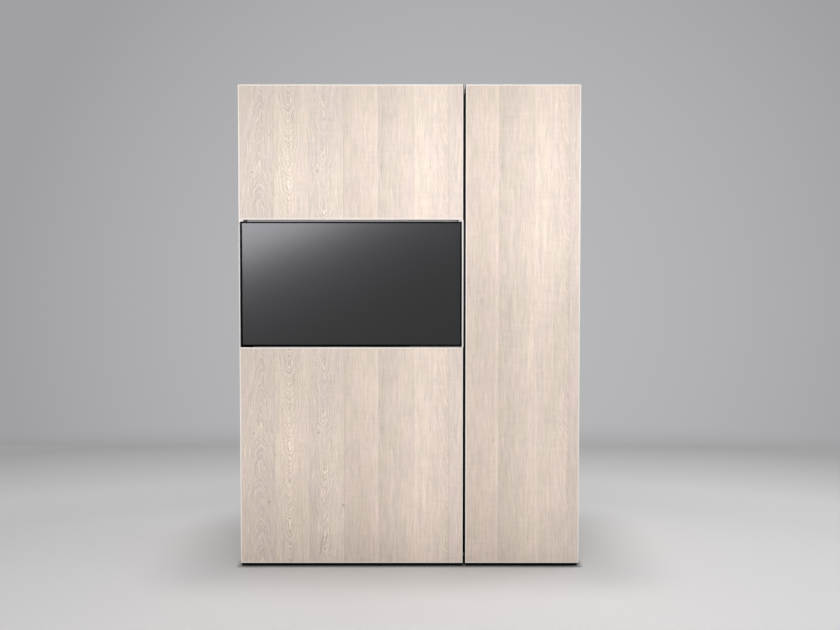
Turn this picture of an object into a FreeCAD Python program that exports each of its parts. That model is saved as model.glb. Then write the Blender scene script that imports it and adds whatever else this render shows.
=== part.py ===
"""A kitchenette that closes up like a wardrobe: two hinged leaves, one with a screen in it.

Behind them are a small kitchen, a refrigerator and a larder.

The unit stands on the floor at z = 0 with its fronts towards -Y. The origin is the middle of its footprint.
All lengths are millimetres.
"""

import FreeCAD
import Part
import os
import re

import Sketcher

Vector = FreeCAD.Vector

# Driving dimensions. Each one goes into the sheet under its own name.
SIZES = {
    # the whole unit
    "left_leaf_width": 980,
    "right_leaf_width": 500,
    "meeting_gap": 9,
    "leaf_height": 2095,
    "leaf_thickness": 90,
    "leaf_clearance": 4,
    "floor_gap": 15,
    "carcass_depth": 596,
    "board": 19,
    "back_thickness": 8,
    "back_rebate": 9,
    "overrun": 2,
    "running_clearance": 0.3,
    "shaft_clearance": 0.05,
    # levelling feet
    "foot_pad_diameter": 44,
    "foot_pad_height": 8,
    "foot_pad_bevel": 2,
    "foot_neck_diameter": 22,
    "foot_stem_diameter": 10,
    "foot_stem_reach": 12,
    "foot_inset": 60,
    # openings for the fitter in the back panel
    "service_diameter": 70,
    "service_drop": 290,
    "wall_screw_diameter": 8,
    "wall_screw_spacing": 960,
    "wall_screw_drop": 32,
    "wall_bracket_width": 50,
    "wall_bracket_leg": 52,
    "wall_bracket_gauge": 3,
    "vent_slot_length": 300,
    "vent_slot_height": 10,
    "vent_slot_pitch": 26,
    # worktop and what stands on it
    "worktop_height": 900,
    "worktop_thickness": 28,
    "worktop_setback": 10,
    "worktop_edge_radius": 3,
    "cleat_width": 20,
    "cleat_height": 40,
    "cleat_length": 440,
    "splash_thickness": 6,
    # sink
    "sink_offset": 258,
    "bowl_width": 380,
    "bowl_length": 330,
    "bowl_drop": 165,
    "bowl_back_margin": 150,
    "bowl_corner_radius": 55,
    "bowl_floor_radius": 22,
    "bowl_sheet": 1.5,
    "bowl_rim": 24,
    "bowl_cutout_play": 5,
    "drain_diameter": 60,
    "drain_flange_diameter": 86,
    "drain_flange_height": 3,
    "drain_slot_diameter": 8,
    "drain_slot_ring_diameter": 34,
    "drain_tail_length": 45,
    # bottle trap under the sink
    "trap_pipe_diameter": 40,
    "trap_bottle_diameter": 72,
    "trap_bottle_height": 96,
    "trap_nut_diameter": 66,
    "trap_nut_height": 18,
    "trap_end_gap": 70,
    # mixer tap
    "tap_back_margin": 66,
    "tap_flange_diameter": 54,
    "tap_flange_height": 5,
    "tap_column_diameter": 46,
    "tap_column_height": 88,
    "tap_spigot_diameter": 22,
    "tap_spigot_height": 11,
    "tap_collar_height": 16,
    "tap_tube_diameter": 24,
    "tap_tube_rise": 150,
    "tap_bend_radius": 80,
    "tap_outlet_drop": 40,
    "tap_outlet_diameter": 18,
    "tap_outlet_depth": 14,
    "tap_shank_diameter": 34,
    "tap_cartridge_diameter": 38,
    "tap_cartridge_reach": 50,
    "tap_lever_cap_length": 18,
    "tap_lever_diameter": 9,
    "tap_lever_length": 105,
    "tap_lever_pin_diameter": 16,
    "tap_lever_pin_length": 9,
    # two zone hob
    "hob_offset": 190,
    "hob_width": 300,
    "hob_length": 500,
    "hob_back_margin": 42,
    "hob_glass": 6,
    "hob_glass_bevel": 2,
    "hob_rim": 12,
    "hob_box_drop": 50,
    "hob_cutout_play": 2,
    "knob_diameter": 36,
    "knob_height": 20,
    "knob_draft": 2,
    "knob_edge_radius": 2,
    "knob_grip_width": 9,
    "knob_skirt_height": 5,
    "knob_shaft_diameter": 7,
    "knob_shaft_length": 16,
    "knob_spacing": 110,
    "knob_front_margin": 44,
    # sliding doors of the base
    "slide_thickness": 16,
    "slide_overlap": 36,
    "slide_play": 0.8,
    "slide_end_play": 1,
    "track_fin": 2,
    "track_web": 2.5,
    "track_floor_height": 10,
    "track_head_height": 20,
    "track_head_entry": 11,
    "track_setback": 2,
    "finger_cup_diameter": 40,
    "finger_cup_depth": 9,
    "finger_cup_inset": 60,
    "base_shelf_height": 360,
    "base_shelf_thickness": 16,
    "base_shelf_setback": 20,
    # wall unit over the worktop
    "splash_share": 0.504,
    "wall_unit_depth": 330,
    "wall_split": 500,
    "lamp_width": 16,
    "lamp_height": 9,
    "lamp_lens_width": 12,
    "lamp_inset": 30,
    "lamp_length": 440,
    # extractor hood
    "hood_play": 1,
    "hood_height": 225,
    "hood_depth": 306,
    "hood_lip": 12,
    "hood_lip_gauge": 3,
    "hood_visor_thickness": 20,
    "hood_visor_play": 0.5,
    "hood_wall": 3,
    "hood_grip_depth": 20,
    "hood_grip_height": 44,
    "hood_grip_bevel": 4,
    "blower_diameter": 190,
    "blower_height": 120,
    "blower_inlet_diameter": 130,
    "blower_inlet_depth": 12,
    "blower_edge_radius": 10,
    "hood_filter_margin": 34,
    "hood_filter_depth": 8,
    "hood_filter_play": 0.4,
    "hood_filter_slot": 6,
    "hood_filter_pitch": 16,
    "button_diameter": 14,
    "button_proud": 4,
    "button_depth": 8,
    "button_spacing": 30,
    "button_edge_inset": 60,
    "button_play": 0.3,
    # wall socket
    "socket_width": 152,
    "socket_height": 82,
    "socket_thickness": 10,
    "socket_corner_radius": 6,
    "socket_cup_diameter": 44,
    "socket_cup_depth": 8,
    "socket_rise": 140,
    "socket_end_margin": 90,
    # refrigerator behind the right leaf
    "fridge_play": 4,
    "fridge_height": 1200,
    "fridge_wall": 38,
    "fridge_back_gap": 30,
    "fridge_engine_height": 190,
    "fridge_engine_depth": 170,
    "fridge_shelf_glass": 4,
    "fridge_shelf_groove": 5,
    "fridge_shelf_play": 0.5,
    "fridge_shelf_setback": 112,
    "fridge_shelf_back_gap": 20,
    "fridge_door_thickness": 48,
    "fridge_door_free_margin": 14,
    "fridge_door_hinge_margin": 6,
    "fridge_door_edge_radius": 6,
    "fridge_door_end_margin": 5,
    "gasket_width": 20,
    "gasket_depth": 9,
    "gasket_bevel": 3,
    "bin_depth": 86,
    "bin_back_height": 90,
    "bin_front_height": 62,
    "bin_wall": 2.5,
    "bin_hinge_margin": 62,
    "bin_free_margin": 31,
    "bin_pitch": 330,
    "bin_first_height": 250,
    "compressor_diameter": 140,
    "compressor_height": 132,
    "compressor_seam_height": 70,
    "compressor_seam_proud": 5,
    "compressor_seam_width": 8,
    "compressor_shoulder": 24,
    "dial_diameter": 38,
    "dial_height": 13,
    "dial_bevel": 2,
    "dial_grip_width": 7,
    "dial_grip_drop": 6,
    "dial_shaft_diameter": 8,
    "dial_shaft_length": 15,
    "dial_setback": 150,
    # larder over the refrigerator
    "larder_shelf_thickness": 16,
    "larder_shelf_setback": 112,
    "larder_shelf_play": 1,
    "shelf_pin_diameter": 5,
    "shelf_pin_depth": 10,
    "shelf_pin_proud": 8,
    "shelf_pin_inset": 60,
    # leaves
    "front_panel": 19,
    "front_edge_bevel": 1.2,
    "upper_front_height": 585,
    "leaf_board": 12,
    "niche_sill_reveal": 4,
    "niche_head_reveal": 9,
    "niche_jamb_setback": 2,
    "niche_jamb_play": 0.5,
    "screen_edge_clearance": 0.8,
    "right_mid_rail_height": 1240,
    # hinges: three knuckles on a pin let into the back corner of each leaf
    "hinge_inset": 8,
    "hinge_barrel_diameter": 14,
    "hinge_pin_diameter": 6,
    "hinge_pin_proud": 2,
    "hinge_knuckle": 30,
    "hinge_knuckle_gap": 0.5,
    "hinge_plate": 2.5,
    "hinge_plate_width": 14,
    "hinge_plate_offset": 3,
    "hinge_web": 4,
    "hinge_notch_play": 1.5,
    "hinge_end_margin": 160,
    # screen set in the left leaf
    "screen_side_gap": 7.5,
    "screen_height": 543,
    "screen_setback": 2,
    "screen_top_gap": 8.5,
    "screen_bottom_gap": 5.5,
    "screen_bezel": 6.5,
    "screen_bezel_depth": 14,
    "screen_lip": 1.2,
    "screen_edge_radius": 2,
    "screen_back_margin": 26,
    "screen_back_depth": 14,
    "screen_back_radius": 5,
    "screen_bulge_width": 640,
    "screen_bulge_height": 330,
    "screen_bulge_depth": 27,
    "screen_bulge_taper": 25,
    "screen_bulge_rise": 40,
    "screen_vent_length": 60,
    "screen_vent_height": 4,
    "screen_vent_pitch": 12,
    "screen_vent_depth": 3,
    "screen_tab_length": 57,
    "screen_tab_drop": 4.8,
    "screen_tab_slope": 8,
    "screen_tab_depth": 12,
    "key_diameter": 3,
    "key_length": 4,
    "key_proud": 1.4,
    "key_inset": 14,
    "bracket_plate_width": 460,
    "bracket_plate_height": 220,
    "bracket_plate_gauge": 3,
    "bracket_arm_width": 34,
    "bracket_arm_length": 300,
    "bracket_arm_gauge": 3,
    "bracket_arm_spacing": 300,
    # trays on the inside of the leaves
    "tray_depth": 82,
    "tray_back_height": 70,
    "tray_front_height": 48,
    "tray_wall": 2,
    "left_tray_width": 760,
    "right_tray_width": 370,
    "left_tray_rise": 110,
    "left_tray_top_margin": 110,
    "right_tray_rise": 73,
    "right_tray_top_margin": 30,
}

# How many of each repeated piece there are.
HINGES_PER_LEAF = 4
LEFT_TRAYS = 3
RIGHT_TRAYS = 3
FRIDGE_SHELVES = 3
FRIDGE_BINS = 3
LARDER_SHELVES = 3
VENT_SLOTS = 5
SCREEN_VENTS = 8
FILTER_SLOTS = 12
DRAIN_SLOTS = 6

# Places and lengths that follow from the driving dimensions.
PLACES = {
    "unit_width": "left_leaf_width + meeting_gap + right_leaf_width",
    "unit_depth": "leaf_thickness + leaf_clearance + carcass_depth",
    "x_left": "-unit_width / 2",
    "x_right": "unit_width / 2",
    "x_meet": "x_left + left_leaf_width + meeting_gap / 2",
    "y_front": "-unit_depth / 2",
    "y_leaf_back": "y_front + leaf_thickness",
    "y_carcass": "y_leaf_back + leaf_clearance",
    "y_back": "unit_depth / 2",
    "y_inner_back": "y_back - back_thickness",
    "z_base": "floor_gap",
    "z_top": "floor_gap + leaf_height",
    "z_floor": "z_base + board",
    "z_ceiling": "z_top - board",
    "inner_height": "leaf_height - 2 * board",
    "inner_depth": "carcass_depth - back_thickness",
    # the kitchen bay behind the left leaf and the column behind the right one
    "bay_left": "x_left + board",
    "bay_right": "x_meet - board / 2",
    "bay_width": "bay_right - bay_left",
    "column_left": "x_meet + board / 2",
    "column_right": "x_right - board",
    "column_width": "column_right - column_left",
    # worktop
    "z_worktop_under": "worktop_height - worktop_thickness",
    "y_worktop": "y_carcass + worktop_setback",
    "worktop_depth": "y_inner_back - y_worktop",
    "service_height": "worktop_height - service_drop",
    "y_splash": "y_inner_back - splash_thickness",
    # sink, tap and trap share one centre line
    "sink_x": "bay_left + sink_offset",
    "bowl_back": "y_inner_back - bowl_back_margin",
    "bowl_front": "bowl_back - bowl_length",
    "sink_y": "bowl_back - bowl_length / 2",
    "z_bowl_floor": "worktop_height - bowl_drop",
    "tap_y": "y_inner_back - tap_back_margin",
    "z_tap_collar": "worktop_height + tap_flange_height + tap_column_height + running_clearance",
    "z_tap_lever": "worktop_height + tap_flange_height + tap_column_height / 2",
    "tap_cap_x": "sink_x + tap_cartridge_reach + running_clearance",
    "z_trap_top": "z_bowl_floor - drain_tail_length",
    "trap_outlet_y": "y_inner_back - trap_end_gap",
    # hob
    "hob_x": "bay_right - hob_offset",
    "hob_back": "y_inner_back - hob_back_margin",
    "hob_front": "hob_back - hob_length",
    "knob_y": "hob_front + knob_front_margin",
    "z_hob_top": "worktop_height + hob_glass",
    "z_hob_box_top": "worktop_height",
    # sliding doors
    "channel": "slide_thickness + 2 * slide_play",
    "track_depth": "3 * track_fin + 2 * channel",
    "y_track": "y_carcass + track_setback",
    "slide_width": "bay_width / 2 + slide_overlap / 2",
    "z_slide": "z_floor + track_web + running_clearance",
    "z_slide_top": "z_worktop_under - track_head_height + track_head_entry",
    "slide_height": "z_slide_top - z_slide",
    "y_slide_front": "y_track + track_fin + slide_play",
    "y_slide_rear": "y_slide_front + channel + track_fin",
    "y_base_shelf": "y_track + track_depth + base_shelf_setback",
    # wall unit
    "y_wall_unit": "y_inner_back - wall_unit_depth",
    "wall_unit_height": "worktop_height + splash_share * (z_ceiling - worktop_height)",
    "wall_shelf_height": "(wall_unit_height + z_ceiling) / 2",
    "wall_split_x": "bay_left + wall_split",
    "hood_left": "wall_split_x + board + hood_play",
    "hood_width": "bay_right - hood_play - hood_left",
    "y_hood": "y_inner_back - hood_depth",
    "z_hood_shelf": "wall_unit_height + hood_height",
    "z_visor": "wall_unit_height + hood_lip_gauge + running_clearance",
    "visor_width": "hood_width - 2 * hood_wall - 2 * hood_visor_play",
    "visor_depth": "hood_depth - hood_wall",
    "visor_mouth": "hood_width - 2 * hood_wall - 2 * hood_lip",
    "filter_width": "visor_mouth - 2 * hood_filter_margin",
    "filter_length": "visor_depth - 2 * hood_filter_margin",
    "y_grip": "y_hood - running_clearance - hood_grip_depth",
    # refrigerator and larder
    "fridge_left": "column_left + fridge_play",
    "fridge_width": "column_width - 2 * fridge_play",
    "y_fridge_door": "y_leaf_back",
    "y_gasket": "y_fridge_door + fridge_door_thickness",
    "y_fridge": "y_gasket + gasket_depth + running_clearance",
    "y_fridge_back": "y_inner_back - fridge_back_gap",
    "fridge_depth": "y_fridge_back - y_fridge",
    "z_fridge_top": "z_floor + fridge_height",
    "cavity_left": "fridge_left + fridge_wall",
    "cavity_width": "fridge_width - 2 * fridge_wall",
    "cavity_depth": "fridge_depth - fridge_wall",
    "z_cavity": "z_floor + fridge_wall",
    "cavity_height": "fridge_height - 2 * fridge_wall",
    "fridge_step_height": "fridge_engine_height + fridge_wall",
    "fridge_step_depth": "fridge_engine_depth + fridge_wall",
    "fridge_shelf_depth": "cavity_depth - fridge_shelf_setback - fridge_shelf_back_gap",
    "fridge_shelf_pitch": "(cavity_height - fridge_step_height) / FRIDGE_SHELF_GAPS",
    "fridge_door_left": "column_left + fridge_door_free_margin",
    "fridge_door_width": "column_width - fridge_door_free_margin - fridge_door_hinge_margin",
    "z_fridge_door": "z_floor + fridge_door_end_margin",
    "fridge_door_height": "fridge_height - 2 * fridge_door_end_margin",
    "bin_left": "cavity_left + bin_free_margin",
    "bin_width": "x_right - hinge_inset - bin_hinge_margin - bin_left",
    "z_cover": "z_fridge_top + fridge_play",
    "larder_floor": "z_cover + board",
    "larder_pitch": "(z_ceiling - larder_floor) / LARDER_GAPS",
    "y_larder": "y_carcass + larder_shelf_setback",
    "larder_depth": "y_inner_back - y_larder",
    # leaves
    "y_frame": "y_front + front_panel",
    "y_jamb": "y_front + niche_jamb_setback",
    "y_leaf_board": "y_leaf_back - leaf_board",
    "rail_depth": "y_leaf_board - y_frame",
    "niche_height": "screen_top_gap + screen_height + screen_bottom_gap",
    "lower_front_height": "leaf_height - niche_height - upper_front_height",
    "z_niche": "z_base + lower_front_height",
    "z_niche_top": "z_niche + niche_height",
    "left_frame_right": "x_left + left_leaf_width",
    "left_rail_length": "left_leaf_width - 2 * board",
    "right_leaf_left": "x_right - right_leaf_width",
    "right_rail_length": "right_leaf_width - 2 * board",
    "z_left_tray": "worktop_height + left_tray_rise",
    "left_tray_pitch": "(z_top - left_tray_top_margin - z_left_tray) / LEFT_TRAYS",
    "z_right_tray": "larder_floor + right_tray_rise",
    "right_tray_pitch": "(z_top - right_tray_top_margin - z_right_tray) / RIGHT_TRAYS",
    # hinges
    "hinge_y": "y_leaf_back - hinge_inset",
    "hinge_left_x": "x_left + hinge_inset",
    "hinge_right_x": "x_right - hinge_inset",
    "hinge_height": "3 * hinge_knuckle + 2 * hinge_knuckle_gap",
    "hinge_pitch": "(leaf_height - 2 * hinge_end_margin) / HINGE_GAPS",
    "hinge_notch": "hinge_inset + hinge_barrel_diameter / 2 + hinge_notch_play",
    # screen
    "screen_x": "x_left + left_leaf_width / 2",
    "screen_width": "left_leaf_width - 2 * screen_side_gap",
    "screen_left": "screen_x - screen_width / 2",
    "z_screen_top": "z_niche_top - screen_top_gap",
    "z_screen": "z_screen_top - screen_height",
    "y_screen": "y_front + screen_setback",
    "y_screen_back": "y_screen + screen_bezel_depth",
    "y_bulge": "y_screen_back + screen_back_depth",
    "y_bulge_back": "y_bulge + screen_bulge_depth",
    "y_bracket_plate": "y_leaf_board - bracket_plate_gauge",
    "bracket_arm_depth": "y_bracket_plate - y_bulge_back",
    "z_bulge": "z_screen + screen_bulge_rise",
    "z_bracket": "z_bulge + screen_bulge_height / 2",
    "key_x": "screen_left + key_inset",
    "z_key": "z_screen - screen_tab_drop / 2",
}
COUNTS = {
    "FRIDGE_SHELF_GAPS": FRIDGE_SHELVES + 1,
    "LARDER_GAPS": LARDER_SHELVES + 1,
    "HINGE_GAPS": HINGES_PER_LEAF - 1,
    "LEFT_TRAYS": LEFT_TRAYS,
    "RIGHT_TRAYS": RIGHT_TRAYS,
}

doc = FreeCAD.newDocument("kitchenette")
sheet = doc.addObject("Spreadsheet::Sheet", "Sizes")
for row, (alias, number) in enumerate(SIZES.items(), 1):
    sheet.set(f"A{row}", alias)
    sheet.set(f"B{row}", str(number))
    sheet.setAlias(f"B{row}", alias)
doc.recompute()

sub_parts = []


# Formulas

def formula(text):
    """The text with each place spelled out and each size read from the sheet."""

    def spell(match):
        word = match.group()
        if word in PLACES:
            return f"({formula(PLACES[word])})"
        if word in COUNTS:
            return str(COUNTS[word])
        return f"Sizes.{word}" if word in SIZES else word

    return re.sub(r"[A-Za-z_]\w*", spell, text)


def value(text):
    """What a formula comes to, in millimetres."""
    return float(sheet.evalExpression(formula(text)))


def bind(thing, **properties):
    for name, text in properties.items():
        thing.setExpression(name, formula(text))
    return thing


def move(thing, at):
    for axis, text in zip("xyz", at):
        thing.setExpression(f"Placement.Base.{axis}", formula(text))
    return thing


def sub_part(label, thing):
    """Names a finished piece and puts it on the list of sub-parts."""
    thing.Label = label
    sub_parts.append(thing)
    return thing


# Solids from primitives

TURNS = {
    "z": FreeCAD.Rotation(),
    "x": FreeCAD.Rotation(Vector(0, 1, 0), 90),
    "y": FreeCAD.Rotation(Vector(1, 0, 0), -90),
    "-x": FreeCAD.Rotation(Vector(0, 1, 0), -90),
    "-y": FreeCAD.Rotation(Vector(1, 0, 0), 90),
}


def block(name, at, size):
    box = doc.addObject("Part::Box", name)
    bind(box, Length=size[0], Width=size[1], Height=size[2])
    return move(box, at)


def rod(name, at, diameter, length, along="z"):
    cylinder = doc.addObject("Part::Cylinder", name)
    cylinder.Placement = FreeCAD.Placement(Vector(), TURNS[along])
    bind(cylinder, Radius=f"({diameter}) / 2", Height=length)
    return move(cylinder, at)


def group(name, pieces):
    compound = doc.addObject("Part::Compound", name)
    compound.Links = pieces
    return compound


def cut(name, base, tools):
    whole = doc.addObject("Part::Cut", name)
    whole.Base = base
    whole.Tool = tools[0] if len(tools) == 1 else group(name + "_tools", tools)
    return whole


def fuse(name, pieces):
    whole = doc.addObject("Part::MultiFuse", name)
    whole.Shapes = pieces
    return whole


def copies(name, master, places):
    """The same piece at several places, as one group of separate solids."""
    made = []
    for number, at in enumerate(places):
        link = doc.addObject("App::Link", f"{name}_{number}")
        link.LinkedObject = master
        link.LinkTransform = False
        made.append(move(link, at))
    return group(name, made)


# Solids from sketches

def new_body(name, at, along="z"):
    body = doc.addObject("PartDesign::Body", name)
    body.Placement = FreeCAD.Placement(Vector(), TURNS[along])
    return move(body, at)


def sketch(body, plane, lift="0"):
    """A sketch on one of the body's own planes, lifted off it by a formula."""
    made = body.newObject("Sketcher::SketchObject", f"{body.Name}_sketch")
    support = next(f for f in body.Origin.OriginFeatures if f.Role == plane)
    made.AttachmentSupport = [(support, "")]
    made.MapMode = "FlatFace"
    made.setExpression("AttachmentOffset.Base.z", formula(lift))
    return made


def pin_point(made, geometry, point, at):
    """Ties a sketch point to formulas for its place, leaving free whichever one is None."""
    for kind, text in zip(("DistanceX", "DistanceY"), at):
        if text is None:
            continue
        index = made.addConstraint(Sketcher.Constraint(kind, -1, 1, geometry, point, value(text)))
        made.setExpression(f"Constraints[{index}]", formula(text))


def outline(made, points):
    """A closed run of straight lines through points given as pairs of formulas."""
    places = [Vector(value(x), value(y)) for x, y in points]
    first = made.GeometryCount
    count = len(places)
    for number, start in enumerate(places):
        made.addGeometry(Part.LineSegment(start, places[(number + 1) % count]), False)
    for number in range(count):
        following = first + (number + 1) % count
        made.addConstraint(Sketcher.Constraint("Coincident", first + number, 2, following, 1))
    for number, at in enumerate(points):
        pin_point(made, first + number, 1, at)
    return made


def rectangle(made, left, low, width, height):
    right, high = f"{left} + {width}", f"{low} + {height}"
    return outline(made, [(left, low), (right, low), (right, high), (left, high)])


def circle(made, x, y, diameter):
    centre = Vector(value(x), value(y))
    index = made.addGeometry(Part.Circle(centre, Vector(0, 0, 1), value(diameter) / 2), False)
    pin_point(made, index, 3, (x, y))
    size = made.addConstraint(Sketcher.Constraint("Diameter", index, value(diameter)))
    made.setExpression(f"Constraints[{size}]", formula(diameter))
    return made


def pad(body, profile, length, reverse=False, taper="0"):
    feature = body.newObject("PartDesign::Pad", f"{body.Name}_pad")
    feature.Profile = profile
    feature.Reversed = reverse
    bind(feature, Length=length, TaperAngle=taper)
    doc.recompute()
    return feature


def pocket(body, profile, length, reverse=False):
    """Cuts the profile out and makes sure that it met the solid."""
    before = body.Shape.Volume
    feature = body.newObject("PartDesign::Pocket", f"{body.Name}_pocket")
    feature.Profile = profile
    feature.Reversed = reverse
    bind(feature, Length=length)
    doc.recompute()
    if not body.Shape.Volume < before:
        raise ValueError(f"a pocket of {body.Name} cuts nothing")
    return feature


def soften(body, kind, size, wanted):
    """Fillets or chamfers the body's edges that the test picks, in the body's own frame."""
    base = body.Tip
    names = [f"Edge{number}" for number, edge in enumerate(base.Shape.Edges, 1) if wanted(edge)]
    feature = body.newObject(f"PartDesign::{kind}", f"{body.Name}_{kind.lower()}")
    feature.Base = (base, names)
    bind(feature, **{"Radius" if kind == "Fillet" else "Size": size})
    doc.recompute()
    return feature


def upright(edge):
    return abs(edge.tangentAt(edge.FirstParameter).z) > 0.9


def lies_at(axis, place):
    """A test for edges that lie wholly in one plane square to an axis."""
    near = 1e-4

    def wanted(edge):
        return all(abs(getattr(vertex, axis) - place) < near for vertex in edge.Vertexes)

    return wanted


def turned(name, at, profile, along="z"):
    """A piece turned on a lathe: pairs of radius and height, spun about its own axis."""
    body = new_body(name, at, along)
    feature = body.newObject("PartDesign::Revolution", f"{name}_turning")
    feature.Profile = outline(sketch(body, "XZ_Plane"), profile)
    feature.ReferenceAxis = (feature.Profile[0], ["V_Axis"])
    feature.Angle = 360
    doc.recompute()
    return body


def tray(name, at, width, depth, back_height, front_height, wall):
    """An open tray that runs along X, with its back against the leaf and a lower lip in front.

    Its own +Y points away from the leaf, so the lip is the far side.
    """
    body = new_body(name, at)
    shell = [("0", "0"), (depth, "0"), (depth, front_height), ("0", back_height)]
    pad(body, outline(sketch(body, "YZ_Plane"), shell), width)
    hollow = [
        (wall, wall),
        (f"{depth} - {wall}", wall),
        (f"{depth} - {wall}", f"{front_height} + overrun"),
        (wall, f"{back_height} + overrun"),
    ]
    inside = outline(sketch(body, "YZ_Plane", wall), hollow)
    pocket(body, inside, f"{width} - 2 * {wall}", reverse=True)
    return body


# Carcass: sides, partition, top, bottom and back on levelling feet

def foot_places():
    xs = ("x_left + foot_inset", "x_meet", "x_right - foot_inset")
    ys = ("y_carcass + foot_inset", "y_inner_back - foot_inset")
    return [(x, y) for x in xs for y in ys]


def larder_pin_places():
    """Where the larder's shelf pins stand: front and back, at each shelf, in both walls of the column."""
    lines = ("y_larder + shelf_pin_inset", "y_inner_back - shelf_pin_inset")
    places = []
    for number in range(1, LARDER_SHELVES + 1):
        height = f"larder_floor + {number} * larder_pitch - shelf_pin_diameter / 2"
        places += [(line, height) for line in lines]
    return places


def make_carcass():
    rebate = ("back_rebate + overrun", "back_thickness + overrun", "leaf_height + 2 * overrun")
    sides = []
    for label, x, rebate_x in (
        ("side_panel_left", "x_left", "x_left + board - back_rebate"),
        ("side_panel_right", "x_right - board", "x_right - board - overrun"),
    ):
        plank = block(
            f"{label}_plank",
            (x, "y_carcass", "z_base"),
            ("board", "carcass_depth", "leaf_height"),
        )
        tools = [block(f"{label}_rebate", (rebate_x, "y_inner_back", "z_base - overrun"), rebate)]
        if label == "side_panel_right":
            for y, z in larder_pin_places():
                at = ("column_right - overrun", y, z)
                tools.append(rod(f"{label}_hole", at, "shelf_pin_diameter", "shelf_pin_depth + overrun", "x"))
        sides.append(cut(label, plank, tools))
    sub_part("side_panels", group("side_panels", sides))

    plank = block(
        "partition_plank",
        ("bay_right", "y_carcass", "z_floor"),
        ("board", "inner_depth", "inner_height"),
    )
    holes = [
        rod(
            "partition_hole",
            ("column_left + overrun", y, z),
            "shelf_pin_diameter",
            "shelf_pin_depth + overrun",
            "-x",
        )
        for y, z in larder_pin_places()
    ]
    sub_part("partition", cut("partition", plank, holes))

    inner_width = "unit_width - 2 * board"
    sub_part(
        "top_panel",
        block("top_panel", ("bay_left", "y_carcass", "z_ceiling"), (inner_width, "inner_depth", "board")),
    )
    plank = block(
        "bottom_plank",
        ("bay_left", "y_carcass", "z_base"),
        (inner_width, "inner_depth", "board"),
    )
    holes = [
        rod("bottom_hole", (x, y, "z_base - overrun"), "foot_stem_diameter", "foot_stem_reach + overrun")
        for x, y in foot_places()
    ]
    sub_part("bottom_panel", cut("bottom_panel", plank, holes))


def make_feet():
    pad_r, neck_r, stem_r = "foot_pad_diameter / 2", "foot_neck_diameter / 2", "foot_stem_diameter / 2"
    stem_top = "floor_gap + foot_stem_reach"
    profile = [
        ("0", "0"),
        (f"{pad_r} - foot_pad_bevel", "0"),
        (pad_r, "foot_pad_bevel"),
        (pad_r, "foot_pad_height - foot_pad_bevel"),
        (neck_r, "foot_pad_height"),
        (neck_r, "floor_gap"),
        (f"{stem_r} - shaft_clearance", "floor_gap"),
        (f"{stem_r} - shaft_clearance", stem_top),
        ("0", stem_top),
    ]
    foot = turned("foot", ("0", "0", "0"), profile)
    sub_part("levelling_feet", copies("levelling_feet", foot, [(x, y, "0") for x, y in foot_places()]))


def make_back_panel():
    """The thin back, with a hole for drain and hoses, two wall screw holes and the refrigerator's vents."""
    body = new_body("back_panel", ("x_left + board - back_rebate", "y_inner_back", "z_base"))
    pad(
        body,
        rectangle(
            sketch(body, "XZ_Plane"),
            "0",
            "0",
            "unit_width - 2 * board + 2 * back_rebate",
            "leaf_height",
        ),
        "back_thickness",
        reverse=True,
    )
    own_x = "- (x_left + board - back_rebate)"
    holes = sketch(body, "XZ_Plane", "overrun")
    circle(holes, f"sink_x {own_x}", "service_height - z_base", "service_diameter")
    for side in ("-", "+"):
        screw_x = f"{side} wall_screw_spacing / 2 {own_x}"
        circle(holes, screw_x, "z_ceiling - wall_screw_drop - z_base", "wall_screw_diameter")
    vent_x = f"column_left + column_width / 2 - vent_slot_length / 2 {own_x}"
    for number in range(VENT_SLOTS):
        low = f"z_floor - z_base + vent_slot_pitch * {number + 1}"
        rectangle(holes, vent_x, low, "vent_slot_length", "vent_slot_height")
    pocket(body, holes, "back_thickness + 2 * overrun")
    sub_part("back_panel", body)


def make_wall_brackets():
    """Two steel angles under the top, each with its screw hole in line with the one in the back."""
    body = new_body("wall_bracket", ("0", "0", "0"))
    leg, gauge = "wall_bracket_leg", "wall_bracket_gauge"
    profile = [
        ("0", "0"),
        ("0", f"-{leg}"),
        (f"-{gauge}", f"-{leg}"),
        (f"-{gauge}", f"-{gauge}"),
        (f"-{leg}", f"-{gauge}"),
        (f"-{leg}", "0"),
    ]
    pad(body, outline(sketch(body, "YZ_Plane"), profile), "wall_bracket_width")
    hole = circle(
        sketch(body, "XZ_Plane", "-overrun"),
        "wall_bracket_width / 2",
        "-wall_screw_drop",
        "wall_screw_diameter",
    )
    pocket(body, hole, "wall_bracket_gauge + 2 * overrun", reverse=True)
    places = [
        (f"{side} wall_screw_spacing / 2 - wall_bracket_width / 2", "y_inner_back", "z_ceiling") for side in (
            "-",
            "+",
        )
    ]
    sub_part("wall_brackets", copies("wall_brackets", body, places))


# Kitchen bay: worktop, sink, tap, trap and hob

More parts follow.
